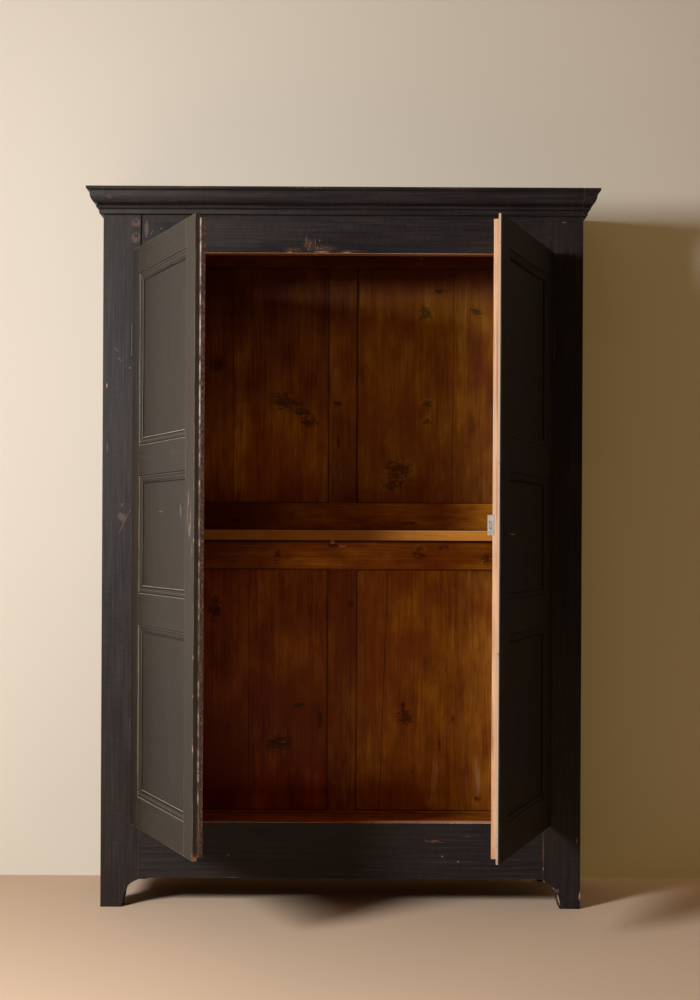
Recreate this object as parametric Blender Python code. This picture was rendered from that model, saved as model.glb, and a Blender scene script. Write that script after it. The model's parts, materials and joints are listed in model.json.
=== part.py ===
"""A two-door painted pine wardrobe, built as a joiner builds it.

Posts, rails and panels are separate pieces with tenons and grooves. Lengths are in
metres, +Z is up and +X is to the right of someone who faces the doors. Inside this
file Y is counted from the front face of the front frame, positive towards the back;
one empty then centres the whole, open doors included, over the origin.
"""

import math

import bmesh
import bpy

# Clearances
FIT = 0.0003  # between pieces that touch
OVERRUN = 0.003  # how far a cutter runs past the wood, or a tenon into its rail
GROOVE_PLAY = 0.001  # room at a panel's edge for the wood to move

# Carcass
HEIGHT = 1.990
WIDTH = 1.330
DEPTH = 0.420
TOP_BOARD_THICK = 0.015
RAIL_THICK = 0.035
TENON_THICK = 0.012
TENON_LONG = 0.050
TENON_SHORT = 0.028
TENON_SHOULDER = 0.015

# Front frame
POST_WIDTH = 0.104
POST_DEPTH = 0.060
FRIEZE_HEIGHT = 0.162
BOTTOM_RAIL_HEIGHT = 0.156
FOOT_CLEARANCE = 0.081
FOOT_WIDTH = 0.057
ANKLE_WIDTH = 0.064
ANKLE_HEIGHT = 0.024
FOOT_ARC_RADIUS = 0.053
FOOT_ARC_STEPS = 8
PEG_RADIUS = 0.0043
PEG_SINK = 0.003
PEG_INSET = 0.014  # from the post's inner edge
PEG_DROPS = (0.075, 0.115)  # below the top of the frieze

# Sides and back
REAR_POST_WIDTH = 0.080
REAR_POST_DEPTH = 0.045
SIDE_TENON_THICK = 0.010
BACK_RAIL_THICK = 0.025
BACK_TENON_THICK = 0.009
BACK_TOP_RAIL_HEIGHT = 0.137
BACK_BOTTOM_RAIL_HEIGHT = 0.123
BACK_MID_RAIL_HEIGHT = 0.200
SIDE_MID_RAIL_HEIGHT = 0.089
MUNTIN_WIDTH = 0.084
PANEL_THICK = 0.009
PANEL_TONGUE = 0.008
PANEL_RECESS = 0.008

# Shelf and floor
SHELF_UNDERSIDE = 1.019
SHELF_THICK = 0.028
SHELF_SETBACK = 0.045
SHELF_BEARING = 0.015
FLOOR_TOP = 0.196
FLOOR_THICK = 0.020
FLOOR_TONGUE = 0.008
SHELF_PEG_RADIUS = 0.0065
SHELF_PEG_DROP = 0.011
SHELF_PEG_X = -0.027
SHELF_PEG_SETBACK = 0.010  # from the shelf's front edge to the peg's middle

# Cornice
CORNICE_HEIGHT = 0.072
CORNICE_OUT = 0.043
CORNICE_JOINT_INSET = 0.003
OVOLO_STEPS = 6
BEAD_STEPS = 4

# Doors
DOOR_THICK = 0.023
LIP_THICK = 0.011
LIP_OVER_RAIL = 0.004
RAIL_REBATE = 0.011
HINGE_REBATE = 0.024
SEAT_GAP = 0.001  # between a shut door's lip and the front frame
PIN_INSET = 0.083  # from the side of the carcass to the hinge pins
MEETING_X = -0.0045
MEETING_GAP = 0.001
LEFT_TONGUE_WIDTH = 0.010
LEFT_TONGUE_SETBACK = 0.012
RIGHT_LIP_WIDTH = 0.0105
RIGHT_LIP_THICK = 0.008
DOOR_STILE_WIDTH = 0.072
DOOR_TOP_RAIL_HEIGHT = 0.073
DOOR_UPPER_RAIL_HEIGHT = 0.082
DOOR_LOWER_RAIL_HEIGHT = 0.084
DOOR_BOTTOM_RAIL_HEIGHT = 0.086
MIDDLE_OPENING_HEIGHT = 0.320
MOULDING_WIDTH = 0.022
MOULDING_FALL = 0.0065
MOULDING_STEP = 0.0012
MOULDING_FILLET = 0.003
MOULDING_STEPS = 5
DOOR_TENON_LONG = 0.045
LEFT_OPEN_ANGLE = math.radians(67.3)
RIGHT_OPEN_ANGLE = math.radians(70.7)

# Hinges
HINGE_LENGTH = 0.090
HINGE_FROM_END = 0.205  # from a door's end to its hinge
KNUCKLE_RADIUS = 0.0045
HINGE_PIN_RADIUS = 0.0022
KNUCKLE_GAP = 0.0004
LEAF_THICK = 0.0022
LEAF_WIDTH = 0.019
LEG_THICK = 0.0025
ROUND_STEPS = 16

# Lock on the right door
LOCK_BOTTOM = 1.034
LOCK_HEIGHT = 0.0495
LOCK_LENGTH = 0.070
LOCK_THICK = 0.0165
LOCK_LET_IN = 0.004
BOLT_HEIGHT = 0.018
BOLT_THICK = 0.005
BOLT_LENGTH = 0.058
BOLT_TRAVEL = 0.012
BOLT_SETBACK = 0.0025  # from the door's inner face
KEYHOLE_FROM_EDGE = 0.045
KEYHOLE_ABOVE_LOCK_BOTTOM = 0.011
KEYHOLE_RADIUS = 0.003
KEYHOLE_SLOT_WIDTH = 0.003
KEYHOLE_SLOT_DROP = 0.009
KEYHOLE_SINK = 0.004  # into the lock case

# Hook on the back of the left door; swung up, it catches behind the shelf's peg
HOOK_WIDTH = 0.005
HOOK_THICK = 0.004
HOOK_PRONG = 0.007
HOOK_EYE_RADIUS = 0.004
HOOK_PIN_RADIUS = 0.0015
HOOK_STANDOFF = 0.005  # of the pin from the door's inner face
HOOK_EAR_THICK = 0.002
HOOK_PLAY = 0.0015  # round the shelf's peg

# Derived places
HALF = WIDTH / 2
OPENING_HALF = HALF - POST_WIDTH
CARCASS_TOP = HEIGHT - TOP_BOARD_THICK
OPENING_TOP = CARCASS_TOP - FRIEZE_HEIGHT
OPENING_BOTTOM = FOOT_CLEARANCE + BOTTOM_RAIL_HEIGHT
BACK_FACE = DEPTH - BACK_RAIL_THICK
REAR_POST_FRONT = DEPTH - REAR_POST_DEPTH
REAR_POST_INNER = HALF - REAR_POST_WIDTH
SIDE_INNER = HALF - RAIL_THICK
MID_RAIL_BOTTOM = SHELF_UNDERSIDE - SIDE_MID_RAIL_HEIGHT  # of the back and both sides
BACK_TOP_RAIL_BOTTOM = CARCASS_TOP - BACK_TOP_RAIL_HEIGHT
BACK_BOTTOM_RAIL_TOP = FOOT_CLEARANCE + BACK_BOTTOM_RAIL_HEIGHT
BACK_MID_RAIL_TOP = MID_RAIL_BOTTOM + BACK_MID_RAIL_HEIGHT
SHELF_PEG_Y = SHELF_SETBACK + SHELF_PEG_SETBACK
SHELF_PEG_BOTTOM = SHELF_UNDERSIDE - SHELF_PEG_DROP
PIN_X = HALF - PIN_INSET
PIN_Y = -(LIP_THICK + SEAT_GAP)
DOOR_BOTTOM = OPENING_BOTTOM - LIP_OVER_RAIL
DOOR_HEIGHT = OPENING_TOP + LIP_OVER_RAIL - DOOR_BOTTOM
LEFT_DOOR_WIDTH = PIN_X + MEETING_X - MEETING_GAP / 2
RIGHT_DOOR_WIDTH = PIN_X - MEETING_X - MEETING_GAP / 2
DOOR_PANEL_SPAN = LEFT_DOOR_WIDTH - 2 * DOOR_STILE_WIDTH
HOOK_ACROSS = PIN_X + SHELF_PEG_X
HOOK_BACK = DOOR_THICK + HOOK_STANDOFF
HOOK_HEIGHT = SHELF_PEG_BOTTOM - HOOK_PLAY - HOOK_THICK / 2 - DOOR_BOTTOM
HOOK_REACH = SHELF_PEG_Y - PIN_Y - HOOK_BACK + SHELF_PEG_RADIUS + HOOK_PLAY

# The doors stand open in front of the carcass, so its centre lies behind their reach.
DOOR_REACH = max(
    LEFT_DOOR_WIDTH * math.sin(LEFT_OPEN_ANGLE),
    RIGHT_DOOR_WIDTH * math.sin(RIGHT_OPEN_ANGLE),
)
FRONT_Y = -(DEPTH + PIN_Y - DOOR_REACH) / 2


def clear_scene():
    for obj in list(bpy.data.objects):
        bpy.data.objects.remove(obj, do_unlink=True)


def finish(name, colour, roughness, metallic=0.0):
    material = bpy.data.materials.new(name)
    material.use_nodes = True
    shader = material.node_tree.nodes["Principled BSDF"]
    shader.inputs["Base Color"].default_value = (*colour, 1.0)
    shader.inputs["Roughness"].default_value = roughness
    shader.inputs["Metallic"].default_value = metallic
    return material


def make_finishes():
    return {
        "black_paint": finish("black_paint", (0.035, 0.037, 0.040), 0.55),
        "varnished_pine": finish("varnished_pine", (0.30, 0.115, 0.035), 0.5),
        "iron": finish("iron", (0.06, 0.055, 0.05), 0.6, 0.8),
        "lock_steel": finish("lock_steel", (0.55, 0.55, 0.57), 0.4, 0.9),
    }


def empty_at(name, location, angle=0.0, parent=None):
    empty = bpy.data.objects.new(name, None)
    bpy.context.scene.collection.objects.link(empty)
    empty.parent = parent
    empty.location = location
    empty.rotation_euler = (0.0, 0.0, angle)
    return empty


def object_from(name, shape, parent, material=None):
    """Makes the object from a bmesh. With no material it is a hidden cutter or joiner."""
    bmesh.ops.recalc_face_normals(shape, faces=shape.faces)
    mesh = bpy.data.meshes.new(name)
    shape.to_mesh(mesh)
    shape.free()
    obj = bpy.data.objects.new(name, mesh)
    bpy.context.scene.collection.objects.link(obj)
    obj.parent = parent
    if material:
        mesh.materials.append(material)
    else:
        obj.hide_render = True
        obj.display_type = "WIRE"
    return obj


def loft(rings, start_facets=None, end_facets=None):
    """A closed shape through rings of equal length. Facets are index lists for the two
    ends, for an end that is more than one flat face."""
    shape = bmesh.new()
    rows = [[shape.verts.new(point) for point in ring] for ring in rings]
    count = len(rings[0])
    for row, following in zip(rows, rows[1:]):
        for i in range(count):
            j = (i + 1) % count
            shape.faces.new((row[i], row[j], following[j], following[i]))
    whole = [list(range(count))]
    for facet in start_facets or whole:
        shape.faces.new([rows[0][i] for i in reversed(facet)])
    for facet in end_facets or whole:
        shape.faces.new([rows[-1][i] for i in facet])
    return shape


def box_shape(low, high):
    (x0, y0, z0), (x1, y1, z1) = low, high
    return loft(
        [
            [(x0, y0, z), (x1, y0, z), (x1, y1, z), (x0, y1, z)]
            for z in (z0, z1)
        ]
    )


def upright_prism(outline, low, high):
    """A plan outline of (x, y) points raised from low to high."""
    return loft([[(x, y, z) for x, y in outline] for z in (low, high)])


def rod_shape(axis, centre, radius, low, high):
    """A rod along axis (0, 1 or 2), whose centre is given on the other two. None of its
    edges lies level with its centre, where a board's face could meet it."""
    rings = []
    for along in (low, high):
        ring = []
        for i in range(ROUND_STEPS):
            angle = math.pi * (2 * i + 1) / ROUND_STEPS
            point = [
                centre[0] + radius * math.cos(angle),
                centre[1] + radius * math.sin(angle),
            ]
            point.insert(axis, along)
            ring.append(tuple(point))
        rings.append(ring)
    return loft(rings)


def combine(obj, shape, operation):
    helper = object_from(f"{obj.name}_{operation.lower()}", shape, obj.parent)
    modifier = obj.modifiers.new(operation.title(), "BOOLEAN")
    modifier.operation = operation
    modifier.solver = "EXACT"
    modifier.object = helper


def cut(obj, shape):
    combine(obj, shape, "DIFFERENCE")


def join(obj, shape):
    combine(obj, shape, "UNION")


def grown(box, edge=FIT, flat_axis=None):
    """A box with room round it: edge on every side, but only a fit across flat_axis."""
    low, high = box
    room = [FIT if axis == flat_axis else edge for axis in range(3)]
    return (
        tuple(a - r for a, r in zip(low, room)),
        tuple(b + r for b, r in zip(high, room)),
    )


def ordered(box):
    """The same box with its lower corner first, after a mirror in X."""
    low, high = box
    return (
        tuple(min(a, b) for a, b in zip(low, high)),
        tuple(max(a, b) for a, b in zip(low, high)),
    )


def box_object(name, box, material, parent):
    return object_from(name, box_shape(*ordered(box)), parent, material)


def house(obj, *boxes):
    """Cuts a mortise in obj for each tenon box, with a fit all round."""
    for box in boxes:
        cut(obj, box_shape(*grown(ordered(box))))


def groove(obj, flat_axis, *panel_boxes):
    for box in panel_boxes:
        cut(obj, box_shape(*grown(ordered(box), GROOVE_PLAY, flat_axis)))


# Carcass


def post_outline(side):
    """The front elevation of a front post, as (x, z) points, with its bracket foot."""
    inner = OPENING_HALF
    arc_x = HALF - ANKLE_WIDTH - FOOT_ARC_RADIUS
    first = math.acos((inner - arc_x) / FOOT_ARC_RADIUS)
    arc = []
    for i in range(FOOT_ARC_STEPS + 1):
        angle = first * (1 - i / FOOT_ARC_STEPS)
        arc.append(
            (
                arc_x + FOOT_ARC_RADIUS * math.cos(angle),
                ANKLE_HEIGHT + FOOT_ARC_RADIUS * math.sin(angle),
            )
        )
    points = [
        (HALF, 0.0),
        (HALF, CARCASS_TOP),
        (inner, CARCASS_TOP),
        *arc,
        (HALF - FOOT_WIDTH, 0.0),
    ]
    return [(side * x, z) for x, z in points]


def front_rail_tenon(side, low, high):
    """The tenon of the frieze or bottom rail in a front post."""
    middle = RAIL_THICK / 2
    return (
        (
            side * (OPENING_HALF - OVERRUN),
            middle - TENON_THICK / 2,
            low + TENON_SHOULDER,
        ),
        (
            side * (OPENING_HALF + TENON_LONG),
            middle + TENON_THICK / 2,
            high - TENON_SHOULDER,
        ),
    )


SIDE_RAILS = {
    "bottom": (FOOT_CLEARANCE, OPENING_BOTTOM),
    "mid": (MID_RAIL_BOTTOM, SHELF_UNDERSIDE - FIT),
    "top": (OPENING_TOP, CARCASS_TOP),
}
SIDE_PANEL_OUTER = HALF - PANEL_RECESS
SIDE_PANEL_INNER = SIDE_PANEL_OUTER - PANEL_THICK
SIDE_TENON_MIDDLE = HALF - RAIL_THICK / 2


def side_tenons(side, low, high):
    """The front and rear tenons of a side rail."""
    across = (
        side * (SIDE_TENON_MIDDLE - SIDE_TENON_THICK / 2),
        side * (SIDE_TENON_MIDDLE + SIDE_TENON_THICK / 2),
    )
    stretches = (
        (POST_DEPTH - TENON_SHORT, POST_DEPTH + OVERRUN),
        (REAR_POST_FRONT - OVERRUN, REAR_POST_FRONT + TENON_SHORT),
    )
    return [
        (
            (across[0], front, low + TENON_SHOULDER),
            (across[1], back, high - TENON_SHOULDER),
        )
        for front, back in stretches
    ]


def side_panel_box(side, low, high):
    """The board between two side rails whose facing edges are at low and high."""
    return (
        (side * SIDE_PANEL_INNER, POST_DEPTH - PANEL_TONGUE, low - PANEL_TONGUE),
        (side * SIDE_PANEL_OUTER, REAR_POST_FRONT + PANEL_TONGUE, high + PANEL_TONGUE),
    )


def side_panels(side):
    return {
        "lower": side_panel_box(side, SIDE_RAILS["bottom"][1], SIDE_RAILS["mid"][0]),
        "upper": side_panel_box(side, SIDE_RAILS["mid"][1], SIDE_RAILS["top"][0]),
    }


BACK_RAILS = {
    "bottom": (FOOT_CLEARANCE, BACK_BOTTOM_RAIL_TOP),
    "mid": (MID_RAIL_BOTTOM, BACK_MID_RAIL_TOP),
    "top": (BACK_TOP_RAIL_BOTTOM, CARCASS_TOP),
}
BACK_TENON_FRONT = DEPTH - BACK_RAIL_THICK / 2 - BACK_TENON_THICK / 2
BACK_TENON_REAR = BACK_TENON_FRONT + BACK_TENON_THICK
BACK_BAYS = {
    "lower": (BACK_BOTTOM_RAIL_TOP, MID_RAIL_BOTTOM),
    "upper": (BACK_MID_RAIL_TOP, BACK_TOP_RAIL_BOTTOM),
}


def back_rail_tenon(side, low, high):
    return (
        (side * (REAR_POST_INNER - OVERRUN), BACK_TENON_FRONT, low + TENON_SHOULDER),
        (side * (REAR_POST_INNER + TENON_SHORT), BACK_TENON_REAR, high - TENON_SHOULDER),
    )


def muntin_tenons(low, high):
    half = MUNTIN_WIDTH / 2 - TENON_SHOULDER
    stretches = ((low - TENON_SHORT, low + OVERRUN), (high - OVERRUN, high + TENON_SHORT))
    return [
        ((-half, BACK_TENON_FRONT, bottom), (half, BACK_TENON_REAR, top))
        for bottom, top in stretches
    ]


def back_panel_box(side, low, high):
    return (
        (
            side * (MUNTIN_WIDTH / 2 - PANEL_TONGUE),
            BACK_TENON_FRONT,
            low - PANEL_TONGUE,
        ),
        (
            side * (REAR_POST_INNER + PANEL_TONGUE),
            BACK_TENON_FRONT + PANEL_THICK,
            high + PANEL_TONGUE,
        ),
    )


def build_front_frame(root, finishes):
    paint = finishes["black_paint"]
    rails = {
        "frieze_rail": (OPENING_TOP, CARCASS_TOP),
        "front_bottom_rail": (FOOT_CLEARANCE, OPENING_BOTTOM),
    }
    for side, word in ((-1, "left"), (1, "right")):
        outline = post_outline(side)
        shape = loft([[(x, y, z) for x, z in outline] for y in (0.0, POST_DEPTH)])
        post = object_from(f"front_{word}_post", shape, root, paint)
        for low, high in rails.values():
            house(post, front_rail_tenon(side, low, high))
        for low, high in SIDE_RAILS.values():
            house(post, side_tenons(side, low, high)[0])
        groove(post, 0, *side_panels(side).values())
        for drop in PEG_DROPS:
            x = side * (OPENING_HALF + PEG_INSET)
            z = CARCASS_TOP - drop
            cut(post, rod_shape(1, (x, z), PEG_RADIUS, -OVERRUN, PEG_SINK))
        for low in hinge_bottoms():
            cut(post, box_shape(*grown(ordered(frame_leaf_pocket(side, low)))))
    for name, (low, high) in rails.items():
        half = OPENING_HALF - FIT
        rail = box_object(name, ((-half, 0.0, low), (half, RAIL_THICK, high)), paint, root)
        for side in (-1, 1):
            join(rail, box_shape(*ordered(front_rail_tenon(side, low, high))))
        if name == "front_bottom_rail":
            house(rail, floor_tongue_box(RAIL_THICK - FLOOR_TONGUE, RAIL_THICK + OVERRUN))


def build_sides(root, finishes):
    paint = finishes["black_paint"]
    for side, word in ((-1, "left"), (1, "right")):
        panels = side_panels(side)
        post_box = (
            (side * REAR_POST_INNER, REAR_POST_FRONT, 0.0),
            (side * HALF, DEPTH, CARCASS_TOP),
        )
        post = box_object(f"rear_{word}_post", post_box, paint, root)
        for low, high in SIDE_RAILS.values():
            house(post, side_tenons(side, low, high)[1])
        for low, high in BACK_RAILS.values():
            house(post, back_rail_tenon(side, low, high))
        groove(post, 0, *panels.values())
        groove(post, 1, *(back_panel_box(side, *bay) for bay in BACK_BAYS.values()))
        for place, (low, high) in SIDE_RAILS.items():
            box = (
                (side * SIDE_INNER, POST_DEPTH + FIT, low),
                (side * HALF, REAR_POST_FRONT - FIT, high),
            )
            rail = box_object(f"{word}_side_{place}_rail", box, paint, root)
            for tenon in side_tenons(side, low, high):
                join(rail, box_shape(*ordered(tenon)))
            groove(rail, 0, *panels.values())
        for place, box in panels.items():
            box_object(f"{word}_side_{place}_panel", box, paint, root)


def build_back(root, finishes):
    pine = finishes["varnished_pine"]
    for place, (low, high) in BACK_RAILS.items():
        half = REAR_POST_INNER - FIT
        box = ((-half, BACK_FACE, low), (half, DEPTH, high))
        rail = box_object(f"back_{place}_rail", box, pine, root)
        for side in (-1, 1):
            join(rail, box_shape(*ordered(back_rail_tenon(side, low, high))))
        for bay in BACK_BAYS.values():
            if high in bay or low in bay:
                house(rail, *muntin_tenons(*bay))
                groove(rail, 1, *(back_panel_box(side, *bay) for side in (-1, 1)))
        if place == "bottom":
            house(rail, floor_tongue_box(BACK_FACE - OVERRUN, BACK_FACE + FLOOR_TONGUE))
    for place, (low, high) in BACK_BAYS.items():
        half = MUNTIN_WIDTH / 2
        box = ((-half, BACK_FACE, low + FIT), (half, DEPTH, high - FIT))
        muntin = box_object(f"back_{place}_muntin", box, pine, root)
        for tenon in muntin_tenons(low, high):
            join(muntin, box_shape(*tenon))
        for side, word in ((-1, "left"), (1, "right")):
            panel = back_panel_box(side, low, high)
            groove(muntin, 1, panel)
            box_object(f"back_{place}_{word}_panel", panel, pine, root)


def board_outline(front, middle_half, back):
    """A board between the posts, notched round the front and rear ones."""
    front_half = OPENING_HALF - FIT
    rear_half = REAR_POST_INNER - FIT
    right = [
        (front_half, front),
        (front_half, POST_DEPTH + FIT),
        (middle_half, POST_DEPTH + FIT),
        (middle_half, REAR_POST_FRONT - FIT),
        (rear_half, REAR_POST_FRONT - FIT),
        (rear_half, back),
    ]
    return right + [(-x, y) for x, y in reversed(right)]


def floor_tongue_box(front, back):
    half = OPENING_HALF - FIT
    return ((-half, front, FLOOR_TOP - FLOOR_THICK), (half, back, FLOOR_TOP))


def build_boards(root, finishes):
    pine = finishes["varnished_pine"]
    top_low = CARCASS_TOP + FIT
    box_object("top_board", ((-HALF, 0.0, top_low), (HALF, DEPTH, HEIGHT)), pine, root)

    floor_front = RAIL_THICK - FLOOR_TONGUE
    floor = board_outline(floor_front, SIDE_INNER - FIT, BACK_FACE - FIT)
    shape = upright_prism(floor, FLOOR_TOP - FLOOR_THICK, FLOOR_TOP)
    board = object_from("floor_board", shape, root, pine)
    join(board, box_shape(*floor_tongue_box(BACK_FACE - OVERRUN, BACK_FACE + FLOOR_TONGUE)))

    outline = board_outline(SHELF_SETBACK, SIDE_INNER + SHELF_BEARING, BACK_FACE - FIT)
    shelf_top = SHELF_UNDERSIDE + SHELF_THICK
    shelf = object_from("shelf", upright_prism(outline, SHELF_UNDERSIDE, shelf_top), root, pine)
    centre = (SHELF_PEG_X, SHELF_PEG_Y)
    join(shelf, rod_shape(2, centre, SHELF_PEG_RADIUS, SHELF_PEG_BOTTOM, shelf_top - OVERRUN))


# Cornice


def arc_points(centre, radii, start, end, steps):
    """Points of an upright ellipse's arc, ends included; angles in degrees."""
    points = []
    for i in range(steps + 1):
        angle = math.radians(start + (end - start) * i / steps)
        points.append(
            (centre[0] + radii[0] * math.cos(angle), centre[1] + radii[1] * math.sin(angle))
        )
    return points


def cornice_profile():
    """The cornice's section as (projection, height) points, from its foot up."""
    shares = [
        (0.16, 0.0),
        (0.24, 0.03),
        (0.27, 0.17),
        (0.24, 0.195),
        *arc_points((0.30, 0.285), (0.13, 0.075), -90.0, 90.0, BEAD_STEPS),
        *arc_points((0.42, 0.78), (0.38, 0.38), -90.0, 0.0, OVOLO_STEPS),
        (0.82, 0.84),
        (0.97, 0.90),
        (1.0, 0.91),
        (1.0, 0.99),
        (0.98, 1.0),
    ]
    rise = [(CORNICE_OUT * out, CORNICE_HEIGHT * up) for out, up in shares]
    return [(FIT, 0.0), *rise, (FIT, CORNICE_HEIGHT)]


def build_cornice(root, finishes):
    paint = finishes["black_paint"]
    profile = cornice_profile()
    foot = HEIGHT - CORNICE_HEIGHT
    joint = HALF - CORNICE_JOINT_INSET
    rings = [
        [(x, -out, foot + up) for out, up in profile] for x in (-(joint - FIT), joint - FIT)
    ]
    object_from("cornice_front", loft(rings), root, paint)
    for side, word in ((-1, "left"), (1, "right")):
        rear = [(side * (HALF + out), DEPTH, foot + up) for out, up in profile]
        mitre = [(side * (HALF + out), -out, foot + up) for out, up in profile]
        end = [(side * joint, -out, foot + up) for out, up in profile]
        object_from(f"cornice_{word}", loft([rear, mitre, end]), root, paint)


# Doors, in a frame whose origin is the hinge pin at the door's foot: across is counted
# from the pin to the free edge, and Y runs from the outer face to the inner one


def moulded_edge():
    """The worked edge round a panel: (beyond the flat, behind the face) points from the
    outer face over the ovolo to the inner face."""
    start = MOULDING_FILLET / 2
    end = MOULDING_WIDTH - MOULDING_FILLET
    fall = MOULDING_FALL - MOULDING_STEP
    ovolo = arc_points(
        (start, MOULDING_STEP + fall), (end - start, -fall), 90.0, 0.0, MOULDING_STEPS
    )
    return [
        (0.0, 0.0),
        (0.0, MOULDING_STEP),
        *ovolo,
        (MOULDING_WIDTH, MOULDING_FALL),
        (MOULDING_WIDTH, DOOR_THICK),
        (0.0, DOOR_THICK),
    ]


def rebated_edge():
    """The outer edge of a top or bottom rail, whose back is cut away behind the lip."""
    return [
        (0.0, 0.0),
        (0.0, LIP_THICK),
        (-RAIL_REBATE, LIP_THICK),
        (-RAIL_REBATE, DOOR_THICK),
    ]


def mitre_facets(upper, lower):
    """Index lists of a rail's end: a mitred facet for each moulding, and the flat one."""
    facets = []
    count = len(upper)
    total = count + len(lower)
    flat = list(range(count))
    if upper[2][0] > 0.0:
        facets.append(list(range(1, count)))
        flat = [0, 1, count - 1]
    below = list(range(count, total))
    if lower[2][0] > 0.0:
        facets.append(list(range(count, total - 1)))
        below = [count, total - 2, total - 1]
    facets.append(flat + below)
    return facets


def rail_shape(side, left, right, low, high, lower, upper):
    """A door rail between its stiles' flats, with mitred mouldings."""
    section = [(high + m, m, v) for m, v in upper]
    section += [(low - m, m, v) for m, v in reversed(lower)]
    rings = []
    for end, direction in ((left + FIT, 1), (right - FIT, -1)):
        rings.append(
            [(side * (end + direction * max(m, 0.0)), v, z) for z, m, v in section]
        )
    facets = mitre_facets(upper, lower)
    return loft(rings, facets, facets)


def moulding_strip(side, flat_edge, direction, low, high):
    """The moulding on a stile beside one panel, sunk a little into the stile."""
    edge = moulded_edge()
    section = [
        (-OVERRUN, edge[1][1] + MOULDING_STEP),
        *edge[1:],
        (-OVERRUN, DOOR_THICK - MOULDING_STEP),
    ]
    rings = []
    for start, rise in ((low, 1), (high, -1)):
        rings.append(
            [(side * (flat_edge + direction * m), v, start + rise * m) for m, v in section]
        )
    return loft(rings)


def door_levels():
    """(rails, bays): the flat heights of a door's rails and of the bays between them."""
    tall = (
        DOOR_HEIGHT
        - DOOR_TOP_RAIL_HEIGHT
        - DOOR_UPPER_RAIL_HEIGHT
        - DOOR_LOWER_RAIL_HEIGHT
        - DOOR_BOTTOM_RAIL_HEIGHT
        - MIDDLE_OPENING_HEIGHT
    ) / 2
    steps = (
        ("rail", "bottom", DOOR_BOTTOM_RAIL_HEIGHT),
        ("bay", "bottom", tall),
        ("rail", "lower", DOOR_LOWER_RAIL_HEIGHT),
        ("bay", "middle", MIDDLE_OPENING_HEIGHT),
        ("rail", "upper", DOOR_UPPER_RAIL_HEIGHT),
        ("bay", "top", tall),
        ("rail", "top", DOOR_TOP_RAIL_HEIGHT),
    )
    found = {"rail": {}, "bay": {}}
    level = 0.0
    for kind, name, height in steps:
        found[kind][name] = (level, level + height)
        level += height
    return found["rail"], found["bay"]


def door_panel_box(side, low, high):
    reach = MOULDING_WIDTH - PANEL_TONGUE
    left = DOOR_STILE_WIDTH + reach
    right = DOOR_STILE_WIDTH + DOOR_PANEL_SPAN - reach
    front = PANEL_RECESS
    return (
        (side * left, front, low + reach),
        (side * right, front + PANEL_THICK, high - reach),
    )


def door_tenons(side, low, high):
    """The two tenons of a door rail, on the hinge side and on the meeting side."""
    left = DOOR_STILE_WIDTH
    right = DOOR_STILE_WIDTH + DOOR_PANEL_SPAN
    stretches = (
        (left - DOOR_TENON_LONG, left + OVERRUN),
        (right - OVERRUN, right + DOOR_TENON_LONG),
    )
    return [
        (
            (side * start, PANEL_RECESS, low + TENON_SHOULDER),
            (side * end, PANEL_RECESS + PANEL_THICK, high - TENON_SHOULDER),
        )
        for start, end in stretches
    ]


def hinge_stile_outline(side):
    points = [
        (0.0, 0.0),
        (DOOR_STILE_WIDTH, 0.0),
        (DOOR_STILE_WIDTH, DOOR_THICK),
        (HINGE_REBATE, DOOR_THICK),
        (HINGE_REBATE, LIP_THICK),
        (0.0, LIP_THICK),
    ]
    return [(side * x, y) for x, y in points]


def meeting_stile_outline(side, width, step, shoulder):
    """The stile at the free edge. The left door's back half stands out in a tongue
    (step above zero); the right door's is cut away behind a lip (step below zero)."""
    flat = DOOR_STILE_WIDTH + DOOR_PANEL_SPAN
    points = [
        (flat, 0.0),
        (width, 0.0),
        (width, shoulder),
        (width + step, shoulder),
        (width + step, DOOR_THICK),
        (flat, DOOR_THICK),
    ]
    return [(side * x, y) for x, y in points]


def build_stile(name, outline, side, flat_edge, direction, tenon_index, parent, paint):
    stile = object_from(name, upright_prism(outline, 0.0, DOOR_HEIGHT), parent, paint)
    rails, bays = door_levels()
    for low, high in bays.values():
        join(stile, moulding_strip(side, flat_edge, direction, low, high))
    for low, high in rails.values():
        house(stile, door_tenons(side, low, high)[tenon_index])
    groove(stile, 1, *(door_panel_box(side, *bay) for bay in bays.values()))
    across = [x for x, _ in outline]
    left = min(across) - MOULDING_WIDTH
    right = max(across) + MOULDING_WIDTH
    back = DOOR_THICK + OVERRUN
    for low, high in (
        (-OVERRUN, RAIL_REBATE),
        (DOOR_HEIGHT - RAIL_REBATE, DOOR_HEIGHT + OVERRUN),
    ):
        cut(stile, box_shape((left, LIP_THICK, low), (right, back, high)))
    return stile


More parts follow.
